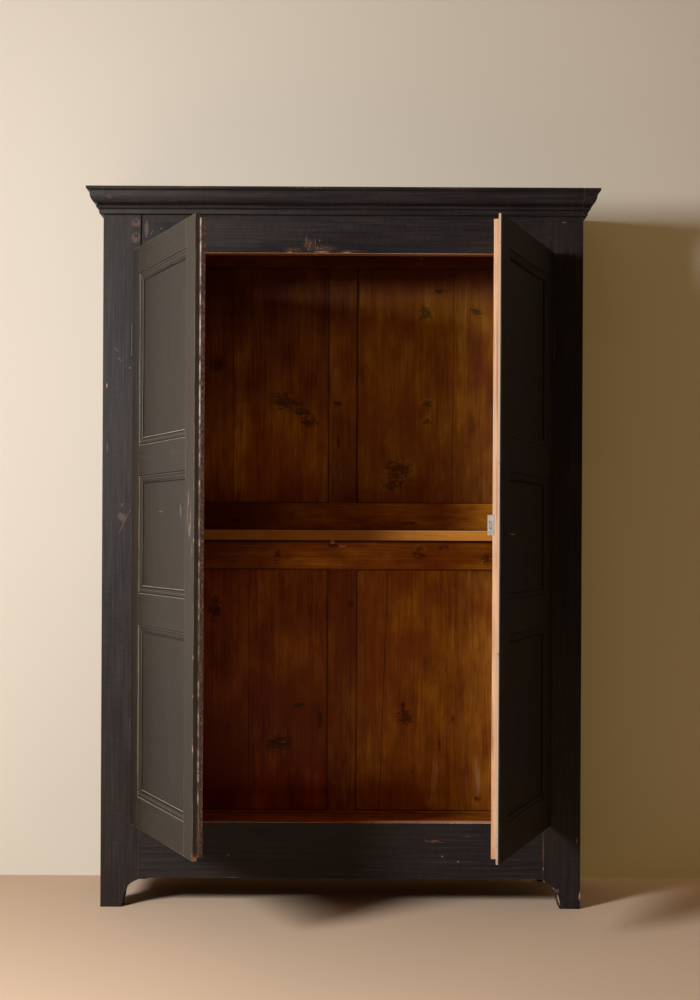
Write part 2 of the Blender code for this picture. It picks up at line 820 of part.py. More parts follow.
def build_door(word, side, width, step, shoulder, pivot, finishes):
    """One door. side is +1 where the free edge lies at +X of the pin, as on the left."""
    paint = finishes["black_paint"]
    rails, bays = door_levels()
    hinge_stile = build_stile(
        f"{word}_door_hinge_stile",
        hinge_stile_outline(side),
        side,
        DOOR_STILE_WIDTH,
        1,
        0,
        pivot,
        paint,
    )
    meeting_stile = build_stile(
        f"{word}_door_meeting_stile",
        meeting_stile_outline(side, width, step, shoulder),
        side,
        DOOR_STILE_WIDTH + DOOR_PANEL_SPAN,
        -1,
        1,
        pivot,
        paint,
    )
    for place, (low, high) in rails.items():
        lower = rebated_edge() if place == "bottom" else moulded_edge()
        upper = rebated_edge() if place == "top" else moulded_edge()
        shape = rail_shape(
            side,
            DOOR_STILE_WIDTH,
            DOOR_STILE_WIDTH + DOOR_PANEL_SPAN,
            low,
            high,
            lower,
            upper,
        )
        rail = object_from(f"{word}_door_{place}_rail", shape, pivot, paint)
        for tenon in door_tenons(side, low, high):
            join(rail, box_shape(*ordered(tenon)))
        groove(rail, 1, *(door_panel_box(side, *bay) for bay in bays.values()))
    for place, bay in bays.items():
        box_object(f"{word}_door_{place}_panel", door_panel_box(side, *bay), paint, pivot)
    for low in hinge_bottoms():
        let_in_door_leaf(hinge_stile, side, low - DOOR_BOTTOM)
    return meeting_stile


# Hinges, each with two knuckles and a leaf on the frame, and one knuckle, the pin and
# a leaf on the door


def hinge_bottoms():
    """How high above the floor each hinge starts."""
    top = DOOR_BOTTOM + DOOR_HEIGHT
    return (DOOR_BOTTOM + HINGE_FROM_END, top - HINGE_FROM_END - HINGE_LENGTH)


def frame_leaf_pocket(side, low):
    """Where the frame's leaf is let into a post; side is -1 for the left post."""
    reach = side * (PIN_X - LEAF_WIDTH)
    outer = side * (PIN_X + KNUCKLE_RADIUS)
    return ((reach, -OVERRUN, low), (outer, LEAF_THICK, low + HINGE_LENGTH))


def door_leaf_box(side, low):
    """The door's leaf, let into the back of the lip, in the door's own frame."""
    back = LIP_THICK - FIT
    return (
        (side * FIT, back - LEAF_THICK, low),
        (side * LEAF_WIDTH, back, low + HINGE_LENGTH),
    )


def knuckle_spans(low):
    third = HINGE_LENGTH / 3
    return [(low + i * third, low + (i + 1) * third) for i in range(3)]


def door_leg_box(side, low):
    """The short web that joins the door's leaf to its knuckle."""
    bottom, top = knuckle_spans(low)[1]
    return (
        (side * FIT, 0.0, bottom + KNUCKLE_GAP),
        (side * (FIT + LEG_THICK), LIP_THICK - FIT, top - KNUCKLE_GAP),
    )


def let_in_door_leaf(stile, side, low):
    radius = KNUCKLE_RADIUS + 2 * FIT
    cut(stile, rod_shape(2, (0.0, 0.0), radius, low - FIT, low + HINGE_LENGTH + FIT))
    leaf_low, leaf_high = ordered(door_leaf_box(side, low))
    house(stile, (leaf_low, (leaf_high[0], leaf_high[1] + OVERRUN, leaf_high[2])))
    edge = (min(-side * OVERRUN, 0.0), 0.0, low)
    far = (max(-side * OVERRUN, 0.0), LIP_THICK + OVERRUN, low + HINGE_LENGTH)
    house(stile, (edge, far), door_leg_box(side, low))


def build_hinge(word, place, side, low, root, pivot, finishes):
    iron = finishes["iron"]
    spans = knuckle_spans(low)
    inner, outer = -side * (PIN_X - LEAF_WIDTH), -side * (PIN_X + KNUCKLE_RADIUS)
    leaf = ((inner, 0.0, low), (outer, LEAF_THICK, low + HINGE_LENGTH))
    frame_half = box_object(f"{word}_{place}_hinge_frame_half", leaf, iron, root)
    pin = (-side * PIN_X, PIN_Y)
    for bottom, top in (spans[0], spans[2]):
        bottom += KNUCKLE_GAP
        top -= KNUCKLE_GAP
        neck_inner = -side * (PIN_X + KNUCKLE_RADIUS - LEG_THICK)
        neck = ((neck_inner, PIN_Y, bottom), (outer, LEAF_THICK / 2, top))
        join(frame_half, box_shape(*ordered(neck)))
        join(frame_half, rod_shape(2, pin, KNUCKLE_RADIUS, bottom, top))
    bore = HINGE_PIN_RADIUS + FIT
    cut(frame_half, rod_shape(2, pin, bore, low - OVERRUN, low + HINGE_LENGTH + OVERRUN))

    door_low = low - DOOR_BOTTOM
    leaf = door_leaf_box(side, door_low)
    door_half = box_object(f"{word}_{place}_hinge_door_half", leaf, iron, pivot)
    join(door_half, box_shape(*ordered(door_leg_box(side, door_low))))
    bottom, top = knuckle_spans(door_low)[1]
    bottom += KNUCKLE_GAP
    top -= KNUCKLE_GAP
    join(door_half, rod_shape(2, (0.0, 0.0), KNUCKLE_RADIUS, bottom, top))
    pin_top = door_low + HINGE_LENGTH
    join(door_half, rod_shape(2, (0.0, 0.0), HINGE_PIN_RADIUS, door_low, pin_top))


# Lock on the back of the right door


def keyhole_shapes(front, back):
    """The keyhole's round and its slot, in the right door's frame."""
    x = -(RIGHT_DOOR_WIDTH - KEYHOLE_FROM_EDGE)
    z = LOCK_BOTTOM + KEYHOLE_ABOVE_LOCK_BOTTOM - DOOR_BOTTOM
    slot = (
        (x - KEYHOLE_SLOT_WIDTH / 2, front, z - KEYHOLE_SLOT_DROP),
        (x + KEYHOLE_SLOT_WIDTH / 2, back, z),
    )
    return rod_shape(1, (x, z), KEYHOLE_RADIUS, front, back), box_shape(*slot)


def build_lock(stile, pivot, finishes):
    edge = -(RIGHT_DOOR_WIDTH - RIGHT_LIP_WIDTH)
    low = LOCK_BOTTOM - DOOR_BOTTOM
    front = DOOR_THICK - LOCK_LET_IN
    case_box = (
        (edge, front, low),
        (edge + LOCK_LENGTH, front + LOCK_THICK, low + LOCK_HEIGHT),
    )
    case = box_object("lock_case", case_box, finishes["lock_steel"], pivot)
    bolt_front = DOOR_THICK + BOLT_SETBACK
    bolt_low = low + (LOCK_HEIGHT - BOLT_HEIGHT) / 2
    bolt_box = (
        (edge, bolt_front, bolt_low),
        (edge + BOLT_LENGTH, bolt_front + BOLT_THICK, bolt_low + BOLT_HEIGHT),
    )
    box_object("lock_bolt", bolt_box, finishes["lock_steel"], pivot)
    channel_low, channel_high = grown(bolt_box)
    cut(case, box_shape((channel_low[0] - OVERRUN, *channel_low[1:]), channel_high))
    pocket_low, pocket_high = grown(case_box)
    cut(stile, box_shape((pocket_low[0] - OVERRUN, *pocket_low[1:]), pocket_high))
    for shape in keyhole_shapes(-OVERRUN, front + OVERRUN):
        cut(stile, shape)
    for shape in keyhole_shapes(front - OVERRUN, front + KEYHOLE_SINK):
        cut(case, shape)


def build_hook(stile, pivot, finishes):
    """The hook hangs from a pin between two ears on the door's back."""
    half = HOOK_WIDTH / 2
    inner = half + FIT
    outer = inner + HOOK_EAR_THICK
    centre = (HOOK_BACK, HOOK_HEIGHT)
    for start, end in ((-outer, -inner), (inner, outer)):
        ear = (
            (
                HOOK_ACROSS + start,
                DOOR_THICK - OVERRUN,
                HOOK_HEIGHT - HOOK_EYE_RADIUS,
            ),
            (
                HOOK_ACROSS + end,
                HOOK_BACK + HOOK_EYE_RADIUS,
                HOOK_HEIGHT + HOOK_EYE_RADIUS,
            ),
        )
        join(stile, box_shape(*ear))
    middle = (inner + outer) / 2
    ends = (HOOK_ACROSS - middle, HOOK_ACROSS + middle)
    join(stile, rod_shape(0, centre, HOOK_PIN_RADIUS, *ends))

    pin = empty_at("left_door_hook_pin", (HOOK_ACROSS, *centre), parent=pivot)
    tip = -(HOOK_REACH + HOOK_THICK)
    bar = ((-half, -HOOK_THICK / 2, tip), (half, HOOK_THICK / 2, 0.0))
    prong = ((-half, 0.0, tip), (half, HOOK_THICK / 2 + HOOK_PRONG, -HOOK_REACH))
    hook = box_object("left_door_hook", bar, finishes["iron"], pin)
    join(hook, box_shape(*prong))
    join(hook, rod_shape(0, (0.0, 0.0), HOOK_EYE_RADIUS, -half, half))
    hole = HOOK_PIN_RADIUS + FIT
    cut(hook, rod_shape(0, (0.0, 0.0), hole, -outer, outer))


def main():
    clear_scene()
    finishes = make_finishes()
    root = empty_at("wardrobe", (0.0, FRONT_Y, 0.0))
    build_front_frame(root, finishes)
    build_sides(root, finishes)
    build_back(root, finishes)
    build_boards(root, finishes)
    build_cornice(root, finishes)

    left_pivot = empty_at("left_door_pin", (-PIN_X, PIN_Y, DOOR_BOTTOM), -LEFT_OPEN_ANGLE, root)
    right_pivot = empty_at("right_door_pin", (PIN_X, PIN_Y, DOOR_BOTTOM), RIGHT_OPEN_ANGLE, root)
    doors = (
        ("left", 1, LEFT_DOOR_WIDTH, LEFT_TONGUE_WIDTH, LEFT_TONGUE_SETBACK, left_pivot),
        ("right", -1, RIGHT_DOOR_WIDTH, -RIGHT_LIP_WIDTH, RIGHT_LIP_THICK, right_pivot),
    )
    for word, side, width, step, shoulder, pivot in doors:
        meeting_stile = build_door(word, side, width, step, shoulder, pivot, finishes)
        if word == "left":
            build_hook(meeting_stile, pivot, finishes)
        else:
            build_lock(meeting_stile, pivot, finishes)
        for place, low in zip(("lower", "upper"), hinge_bottoms()):
            build_hinge(word, place, side, low, root, pivot, finishes)
    bpy.context.view_layer.update()


main()
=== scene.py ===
"""The wardrobe's looks: worn black paint outside, old orange-brown varnish inside.

Lengths are in metres. Materials work in the coordinates of the carcass, or of the door
that a board belongs to: across, behind the front face, and up. Marks such as knots and
scratches are placed in the same coordinates, but in millimetres.
"""

import json
import math
from dataclasses import dataclass
from functools import reduce

import bmesh
import bpy
from mathutils import Matrix, Vector

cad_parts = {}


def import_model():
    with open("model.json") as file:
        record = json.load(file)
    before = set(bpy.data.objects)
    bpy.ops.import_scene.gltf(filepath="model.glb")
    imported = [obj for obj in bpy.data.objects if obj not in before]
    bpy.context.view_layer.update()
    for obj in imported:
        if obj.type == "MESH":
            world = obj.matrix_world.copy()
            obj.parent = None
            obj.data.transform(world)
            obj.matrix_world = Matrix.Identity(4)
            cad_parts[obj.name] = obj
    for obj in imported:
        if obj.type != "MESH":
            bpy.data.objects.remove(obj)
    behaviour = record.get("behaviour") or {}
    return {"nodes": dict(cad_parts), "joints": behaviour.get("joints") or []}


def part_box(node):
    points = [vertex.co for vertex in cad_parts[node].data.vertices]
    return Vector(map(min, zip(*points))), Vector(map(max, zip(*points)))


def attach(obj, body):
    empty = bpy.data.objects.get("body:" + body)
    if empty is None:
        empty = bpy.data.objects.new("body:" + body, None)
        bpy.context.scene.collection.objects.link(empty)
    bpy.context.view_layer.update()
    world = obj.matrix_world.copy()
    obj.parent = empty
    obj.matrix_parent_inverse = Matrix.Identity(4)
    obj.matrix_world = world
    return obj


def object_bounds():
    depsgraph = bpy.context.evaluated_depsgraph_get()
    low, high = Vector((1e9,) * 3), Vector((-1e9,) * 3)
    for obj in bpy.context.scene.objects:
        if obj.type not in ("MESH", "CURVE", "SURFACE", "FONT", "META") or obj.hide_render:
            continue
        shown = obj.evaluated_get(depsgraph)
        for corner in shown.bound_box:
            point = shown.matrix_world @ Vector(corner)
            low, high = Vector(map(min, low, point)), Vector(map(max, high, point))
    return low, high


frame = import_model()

cad_low, cad_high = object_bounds()

# Photograph
PHOTO_HEIGHT = 1000
PHOTO_MIDDLE = 500
FOCAL_PIXELS = 1656
HORIZON_PIXEL = 537
SENSOR = 36
CAMERA_X = 0.0224
CAMERA_HEIGHT = 1.028
CAMERA_DISTANCE = 4.589  # in front of the front frame
CAMERA_ROLL = math.radians(0.28)

# Light
KEY_PLACE = (-2.45, -2.9, 1.86)
KEY_AIM = (0, 0.1, 0.95)
KEY_SIZE = 0.9
KEY_POWER = 196
KEY_COLOUR = (0.985, 0.98, 0.975)
FILL_COLOUR = (1, 0.66, 0.36)
LEFT_FILL = 0.3
RIGHT_FILL = 0.1
LOW_FILL = 0.3  # the share of the fill left near the floor's level
SIDE_FILL = 0.32
REAR_FILL = 0.6
MOTTLE = 0.93  # the darkest share of the stage's colours

# Stage
WALL_GAP = 0.005
STAGE_SIZE = 12
FLOOR_COLOUR = (0.68, 0.51, 0.37)
WALL_COLOUR = (0.525, 0.49, 0.435)
WALL_GLOW = (0.06, 0.036, 0.006)
FOOT_HALF = 0.545
FOOT_HEIGHT = 0.075
FOOT_GAP = 0.001

# Axes
ACROSS = 0
DEEP = 1
UPRIGHT = 2

JOINTS = {joint["name"]: joint for joint in frame["joints"]}
NODES = frame["nodes"]
FRONT_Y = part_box("front_left_post")[0].y
OPENING_HALF = -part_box("front_left_post")[1].x
OPENING_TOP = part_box("frieze_rail")[0].z
OPENING_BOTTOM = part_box("front_bottom_rail")[1].z
FRIEZE_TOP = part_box("frieze_rail")[1].z
BACK_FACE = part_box("back_mid_rail")[0].y - FRONT_Y
SIDE_PANEL_MIDDLE = sum(corner.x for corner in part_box("right_side_upper_panel")) / 2


@dataclass
class Place:
    """Where a group of boards has its own coordinates: x across, y behind the front
    face, z up. mirror is -1 where x runs towards the left."""

    location: tuple
    angle: float = 0
    mirror: float = 1

    def matrix(self):
        turn = Matrix.Rotation(self.angle, 4, "Z")
        flip = Matrix.Diagonal((self.mirror, 1, 1, 1))
        return Matrix.Translation(self.location) @ turn @ flip


def door_place(word, mirror):
    joint = JOINTS[f"{word}_door_hinge"]
    x, y, _ = joint["pos_m"]
    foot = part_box(f"{word}_door_hinge_stile")[0].z
    angle = -joint["axis"][2] * math.radians(joint["range_deg"][0])
    return Place((x, y, foot), angle, mirror)


CARCASS = Place((0, FRONT_Y, 0))
LEFT_DOOR = door_place("left", 1)
RIGHT_DOOR = door_place("right", -1)


def reach_in(node, place):
    """A node's lowest and highest corners in a place's own coordinates."""
    inverse = place.matrix().inverted()
    points = [inverse @ vertex.co for vertex in NODES[node].data.vertices]
    return [[pick(p[axis] for p in points) for axis in range(3)] for pick in (min, max)]


LEFT_EDGE = reach_in("left_door_meeting_stile", LEFT_DOOR)[1][0]
RIGHT_EDGE = reach_in("right_door_meeting_stile", RIGHT_DOOR)[1][0]
DOOR_THICK = reach_in("left_door_hinge_stile", LEFT_DOOR)[1][1]
TONGUE_WIDTH = 0.01
TONGUE_SETBACK = 0.012
RIGHT_LIP_WIDTH = 0.0105
RIGHT_LIP_THICK = 0.008
MOULDING_WIDTH = 0.022
MOULDING_DEPTH = 0.011
PANEL_BACK = 0.0125


def spot(across, up, wide, tall, turn=0):
    """(middle, turn, half size) of a mark, such as a knot or chip, given by its middle
    across and up, its width and its height, in millimetres, and its turn in degrees,
    clockwise as seen from the front. A mark goes all through its board."""
    across, up, wide, tall = (size / 1000 for size in (across, up, wide, tall))
    return (across, 0, up), (0, math.radians(turn), 0), (wide / 2, 100, tall / 2)


class Shader:
    """Builds the nodes of a new material, or of the world. Values may be numbers, tuples
    or the sockets of other nodes."""

    def __init__(self, name, world=None):
        self.owner = world or bpy.data.materials.new(name)
        self.owner.use_nodes = True
        self.nodes = self.owner.node_tree.nodes
        self.links = self.owner.node_tree.links
        self.surface = self.nodes["Background" if world else "Principled BSDF"]

    def put(self, socket, value):
        if isinstance(value, bpy.types.NodeSocket):
            self.links.new(value, socket)
            return
        if isinstance(value, tuple) and len(socket.default_value) == len(value) + 1:
            value = (*value, 1)
        socket.default_value = value

    def node(self, kind, inputs=None, **settings):
        made = self.nodes.new(kind)
        for key, value in settings.items():
            setattr(made, key, value)
        for key, value in (inputs or {}).items():
            self.put(made.inputs[key], value)
        return made

    def math(self, operation, *values):
        inputs = dict(enumerate(values))
        return self.node("ShaderNodeMath", inputs, operation=operation).outputs[0]

    def vector(self, operation, *values, output="Vector"):
        inputs = dict(enumerate(values))
        return self.node("ShaderNodeVectorMath", inputs, operation=operation).outputs[output]

    def add(self, a, b):
        return self.math("ADD", a, b)

    def subtract(self, a, b):
        return self.math("SUBTRACT", a, b)

    def multiply(self, *values):
        return reduce(lambda a, b: self.math("MULTIPLY", a, b), values)

    def most(self, *values):
        return reduce(lambda a, b: self.math("MAXIMUM", a, b), values)

    def total(self, *parts):
        """The sum of (share, value) pairs."""
        whole = 0
        for share, value in parts:
            whole = self.math("MULTIPLY_ADD", value, share, whole)
        return whole

    def rise(self, value, low, high):
        """0 below low, 1 above high and a smooth step between; low may be the larger."""
        inputs = {"Value": value, "From Min": low, "From Max": high}
        made = self.node("ShaderNodeMapRange", inputs, interpolation_type="SMOOTHSTEP")
        return made.outputs["Result"]

    def mix(self, factor, a, b):
        """The colour between a and b."""
        made = self.node("ShaderNodeMix", data_type="RGBA")
        sockets = [s for s in made.inputs if s.enabled]
        for socket, value in zip(sockets, (factor, a, b)):
            self.put(socket, value)
        return next(s for s in made.outputs if s.enabled)

    def lay(self, under, mask, strength, over):
        """The colour with another laid over it where the mask is."""
        return self.mix(self.multiply(mask, strength), under, over)

    def blend(self, factor, a, b):
        """The number between a and b."""
        made = self.node("ShaderNodeMix", {"Factor": factor, "A": a, "B": b}, data_type="FLOAT")
        return made.outputs["Result"]

    def noise(self, vector, scales, detail=3, roughness=0.6, shift=(0, 0, 0), curl=0):
        inputs = {
            "Vector": self.stretch(vector, scales, shift),
            "Scale": 1,
            "Detail": detail,
            "Roughness": roughness,
            "Distortion": curl,
        }
        return self.node("ShaderNodeTexNoise", inputs).outputs["Fac"]

    def stretch(self, vector, scales, shift=(0, 0, 0)):
        """Scales a place by a factor for each axis, then shifts it."""
        return self.vector("MULTIPLY_ADD", vector, scales, shift)

    def split(self, vector):
        return self.node("ShaderNodeSeparateXYZ", {0: vector}).outputs[:3]

    def join(self, x, y, z):
        return self.node("ShaderNodeCombineXYZ", {0: x, 1: y, 2: z}).outputs[0]

    def mapped(self, vector, location, rotation, scale):
        inputs = {"Vector": vector, "Location": location, "Rotation": rotation, "Scale": scale}
        return self.node("ShaderNodeMapping", inputs, vector_type="TEXTURE").outputs[0]

    def place(self, place):
        """A point's coordinates in a group's own frame."""
        raw = self.node("ShaderNodeTexCoord").outputs["Object"]
        turn = (0, 0, place.angle)
        return self.mapped(raw, place.location, turn, (place.mirror, 1, 1))

    def edge(self, radius):
        """1 on a sharp edge, falling to 0 a radius away."""
        bevelled = self.node("ShaderNodeBevel", {"Radius": radius}, samples=6).outputs[0]
        straight = self.node("ShaderNodeNewGeometry").outputs["Normal"]
        facing = self.vector("DOT_PRODUCT", bevelled, straight, output="Value")
        return self.rise(facing, 0.995, 0.86)

    def distances(self, point, marks):
        """How far away each mark is: 0 at its middle, 1 on its outline."""
        for mark in marks:
            yield self.vector("LENGTH", self.mapped(point, *spot(*mark)), output="Value")

    def marks(self, point, marks, ragged):
        """1 inside any of the marks, whose outlines the ragged noise breaks up."""
        found = 0
        for away in self.distances(point, marks):
            reach = self.add(away, self.total((1.8, ragged), (-0.9, 1)))
            found = self.most(found, self.rise(reach, 1, 0.45))
        return found

    def feathered(self, point, marks, feather, share=0.62):
        """1 on the broken strokes of a feathery noise near the marks; the share sets how
        much of their middle is filled."""
        found = 0
        for away in self.distances(point, marks):
            found = self.most(found, self.rise(away, 1.7, 0.1))
        return self.rise(self.total((share, found), (1, feather)), 0.94, 1.12)

    def cavity(self, distance):
        """0 deep in corners and grooves, 1 on open faces."""
        made = self.node("ShaderNodeAmbientOcclusion", {"Distance": distance}, samples=6)
        return made.outputs["AO"]

    def tinted(self, colour, tint):
        return self.vector("MULTIPLY", colour, tint)

    def bump(self, height, distance, strength=1):
        inputs = {"Height": height, "Distance": distance, "Strength": strength}
        return self.node("ShaderNodeBump", inputs).outputs[0]

    def finish(self, colour, roughness, normal=None, metallic=0, specular=0.5):
        self.put(self.surface.inputs["Base Color"], colour)
        self.put(self.surface.inputs["Roughness"], roughness)
        self.surface.inputs["Metallic"].default_value = metallic
        self.surface.inputs["Specular IOR Level"].default_value = specular
        if normal:
            self.put(self.surface.inputs["Normal"], normal)
        return self.owner


# Colours, and tints that multiply a colour
PLAIN = (1, 1, 1)
VARNISH_DARK = (0.17, 0.036, 0.0022)
VARNISH_MIDDLE = (0.34, 0.106, 0.0044)
VARNISH_LIGHT = (0.545, 0.235, 0.0165)
VARNISH_RED = (0.22, 0.0385, 0.0044)
KNOT = (0.04, 0.009, 0.0013)
# A near-black brown for dark glued joints, and for painted shade in corners and where boards
# meet
GRIME_AND_SHADE = (0.02, 0.006, 0.003)
SCUFF = (0.5, 0.27, 0.12)
BARE_DARK = (0.3, 0.145, 0.07)
BARE_LIGHT = (0.6, 0.35, 0.205)
BARE_GREY = (0.42, 0.31, 0.23)
BARE_ORANGE = (0.4, 0.19, 0.08)
TORN_DARK = (0.03, 0.014, 0.01)
TORN_LIGHT = (0.15, 0.07, 0.042)
TONGUE_WHITE = (0.3, 0.262, 0.235)
UNDERSIDE = (0.022, 0.012, 0.007)
RAW = (0.15, 0.088, 0.046)
CARCASS_PAINT = ((0.0111, 0.0085, 0.0094), (0.0154, 0.0099, 0.0087))
DOOR_PAINT = ((0.016, 0.0116, 0.0077), (0.02, 0.0132, 0.0082))
# The door paint made darker for the right door, which stands in shade: painted shade
SHADED_PAINT = ((0.0122, 0.009, 0.0072), (0.0158, 0.0106, 0.0074))
PAINT_RUBBED = (0.042, 0.0345, 0.0305)
PAINT_DARK = (0.005, 0.0045, 0.0045)
PAINT_ARRIS = (0.2, 0.162, 0.128)
# A pale tan for painted highlights on the mouldings' arrises
LIT_ARRIS = (0.26, 0.215, 0.17)
# A near-black for painted shade in recesses and along the mouldings' steps
RECESS_SHADE = (0.002, 0.0017, 0.0016)
RUB = (0.22, 0.18, 0.15)
HALO = (0.13, 0.082, 0.07)
RUST = (0.15, 0.058, 0.032)
RUST_SPECK = (0.19, 0.078, 0.042)
CHIP = (0.42, 0.25, 0.17)
IRON_BLACK = (0.012, 0.0115, 0.012)
IRON_RUST = (0.07, 0.028, 0.014)
STEEL_BRIGHT = (0.24, 0.208, 0.215)
STEEL_STAINED = (0.155, 0.15, 0.12)
PEG_COLOURS = {
    "left": ((0.018, 0.006, 0.005), (0.07, 0.024, 0.018)),
    "right": ((0.012, 0.009, 0.008), (0.026, 0.018, 0.015)),
}
# Near-blacks for the painted shade over the frieze's shoulder gap
GAP_SHADE_COLOURS = ((0.001, 0.0008, 0.0008), (0.005, 0.0035, 0.003))
DOOR_BACK_TINT = (0.64, 0.55, 0.7)

# Scales of the noises, each as the figures in a metre across, through and along a board
PINE_BEND = (5, 5, 2.2)
PINE_STREAKS = (75, 75, 1.3)
PINE_FIBRES = (420, 420, 8)
PINE_CLOUD = (15, 15, 6)
PINE_WARMTH = (4.5, 4.5, 2.6)
KNOT_FEATHER = (42, 42, 105)
SCUFF_STROKES = (420, 420, 26)
VARNISH_RAGGED = (160, 160, 14)
VARNISH_GLOSS = (30, 30, 4)
PAINT_FIBRES = (300, 300, 6)
PAINT_STREAKS = (130, 130, 4)
PAINT_STROKES = (30, 30, 240)
PAINT_CLOUD = (7, 7, 3.2)
PAINT_PATCHES = (26, 26, 7)
PAINT_CRUMBS = (330, 330, 150)
PAINT_SPECKS = (620, 620, 210)
PAINT_SCRATCHES = (420, 420, 40)
PAINT_SWELL = (9, 9, 5)

# Depths of the relief
VARNISH_RELIEF = 0.0003
PAINT_RELIEF = 0.0018
IRON_RELIEF = 0.0004
STEEL_RELIEF = 0.0002
PEG_RELIEF = 0.0003


# Wood


def along_grain(shader, point, axis, seed):
    """The point with its grain along Z, moved so that no two boards look alike."""
    parts = list(shader.split(point))
    grain = parts.pop(axis)
    turned = shader.join(parts[0], parts[1], grain)
    shift = (3.7 * seed % 11, 5.3 * seed % 13, 7.9 * seed % 17)
    return shader.stretch(turned, (1, 1, 1), shift)


def pine_figure(shader, grained):
    """(streaks, fibres, cloud): the bands of growth, the fine fibres and the soft blotches
    of an old varnish."""
    bend = shader.noise(grained, PINE_BEND, detail=2, shift=(1, 8, 3))
    aside = shader.join(shader.multiply(bend, 0.02), 0, 0)
    bent = shader.vector("ADD", grained, aside)
    streaks = shader.noise(bent, PINE_STREAKS, detail=4)
    fibres = shader.noise(grained, PINE_FIBRES, detail=3)
    cloud = shader.noise(grained, PINE_CLOUD, detail=5, roughness=0.62)
    return streaks, fibres, cloud


@dataclass
class Board:
    """What makes one varnished board its own: its tint, which on the right-hand back panels
    is also painted light where more light falls, its knots and pale scuffs, a glued joint,
    given as its place across at two heights, the dark lines where it meets its neighbours,
    each as (axis, place, half width), which are dark joints and painted shade, and its
    painted light and shade, each as (axis, from, to, tint)."""

    tint: tuple = PLAIN
    knots: tuple = ()
    scuffs: tuple = ()
    joint: tuple = None
    lines: tuple = ()
    painted_shading: tuple = ()


def shaded(shader, point, colour, cloud, painted_shading):
    """The colour with its painted light and shade laid over, each as (axis, from, to, tint)."""
    for axis, start, end, tint in painted_shading:
        drift = shader.multiply(shader.subtract(cloud, 0.5), 0.25 * (end - start))
        along = shader.add(shader.split(point)[axis], drift)
        over = shader.tinted(colour, tint)
        colour = shader.mix(shader.rise(along, start, end), colour, over)
    return colour


def varnish(shader, point, grained, board):
    """(colour, height) of varnished pine."""
    streaks, fibres, cloud = pine_figure(shader, grained)
    tone = shader.total((0.2, streaks), (0.32, fibres), (0.48, cloud))
    low = shader.mix(shader.rise(tone, 0.37, 0.53), VARNISH_DARK, VARNISH_MIDDLE)
    colour = shader.mix(shader.rise(tone, 0.49, 0.66), low, VARNISH_LIGHT)
    warmth = shader.noise(grained, PINE_WARMTH, detail=4, shift=(4, 1, 7))
    colour = shader.lay(colour, shader.rise(warmth, 0.46, 0.6), 0.62, VARNISH_RED)
    if board.joint:
        (x0, z0), (x1, z1) = board.joint
        x, _, z = shader.split(point)
        slope = (x1 - x0) / (z1 - z0)
        beside = shader.subtract(x, shader.total((slope, z), (1, x0 - slope * z0)))
        colour = shader.lay(colour, shader.rise(beside, 0.0004, -0.0004), 0.22, VARNISH_DARK)
        line = shader.rise(shader.math("ABSOLUTE", beside), 0.0018, 0.0004)
        colour = shader.lay(colour, line, 0.8, GRIME_AND_SHADE)
    if board.knots:
        feather = shader.noise(point, KNOT_FEATHER, detail=6, roughness=0.72, curl=1.6)
        knots = shader.feathered(point, board.knots, feather, 0.61)
        halo = shader.feathered(point, board.knots, cloud, 0.6)
        colour = shader.lay(colour, halo, 0.35, VARNISH_LIGHT)
        colour = shader.lay(colour, knots, 0.82, KNOT)
    if board.scuffs:
        rub = shader.noise(point, SCUFF_STROKES, detail=4)
        colour = shader.lay(colour, shader.feathered(point, board.scuffs, rub), 0.7, SCUFF)
    # Dark lines: dark joints, and painted shade where a neighbour stands proud or overhangs
    for axis, at, half in board.lines:
        away = shader.math("ABSOLUTE", shader.subtract(shader.split(point)[axis], at))
        line = shader.rise(away, half, 0.4 * half)
        colour = shader.lay(colour, line, 0.85, GRIME_AND_SHADE)
    if board.tint != PLAIN:
        colour = shader.tinted(colour, board.tint)
    # Painted light and shade: parts of the board made lighter or darker
    colour = shaded(shader, point, colour, cloud, board.painted_shading)
    height = shader.total((0.6, fibres), (0.4, streaks))
    return colour, height


def bare(shader, grained):
    streaks, fibres, cloud = pine_figure(shader, grained)
    tone = shader.total((0.4, streaks), (0.4, fibres), (0.35, cloud))
    colour = shader.mix(shader.rise(tone, 0.42, 0.66), BARE_DARK, BARE_LIGHT)
    return shader.mix(shader.rise(streaks, 0.56, 0.66), colour, BARE_GREY)


def varnished(name, place, axis, seed, board, layers=()):
    """Varnished pine. Layers are (mask maker, colour, strength) laid over it."""
    shader = Shader(name)
    point = shader.place(place)
    grained = along_grain(shader, point, axis, seed)
    colour, height = varnish(shader, point, grained, board)
    colour = shader.lay(colour, shader.edge(0.002), 0.25, VARNISH_LIGHT)
    # Painted shade: the varnish darkens in corners and recesses
    deep = shader.rise(shader.cavity(0.02), 0.78, 0.42)
    colour = shader.lay(colour, deep, 0.75, GRIME_AND_SHADE)
    ragged = shader.noise(grained, VARNISH_RAGGED, detail=4)
    for mask, over, strength in layers:
        colour = shader.lay(colour, mask(shader, point, ragged), strength, over)
    rough = shader.noise(grained, VARNISH_GLOSS)
    normal = shader.bump(height, VARNISH_RELIEF, 0.35)
    return shader.finish(colour, shader.blend(rough, 0.36, 0.62), normal, specular=0.24)


# Paint


@dataclass
class Wear:
    """How one painted board is worn: the amount along its edges, and its marks: chips
    down to pale wood, rusty scratches, clusters of rusty specks, grey rubs, and warm
    halos where paint is thin."""

    edges: float = 1
    chips: tuple = ()
    rust: tuple = ()
    specks: tuple = ()
    rubs: tuple = ()
    halos: tuple = ()


@dataclass
class Paint:
    """A black: two tints that it drifts between, its gloss, the size of its arrises and
    how rubbed they are, the depth of its grain, the strength of the painted highlights on its
    mouldings' arrises, and its painted light and shade, each as (axis, from, to, tint)."""

    tints: tuple
    roughness: float
    specular: float
    arris: float
    rubbed: float
    grain: float
    lit: float = 0
    painted_shading: tuple = ()


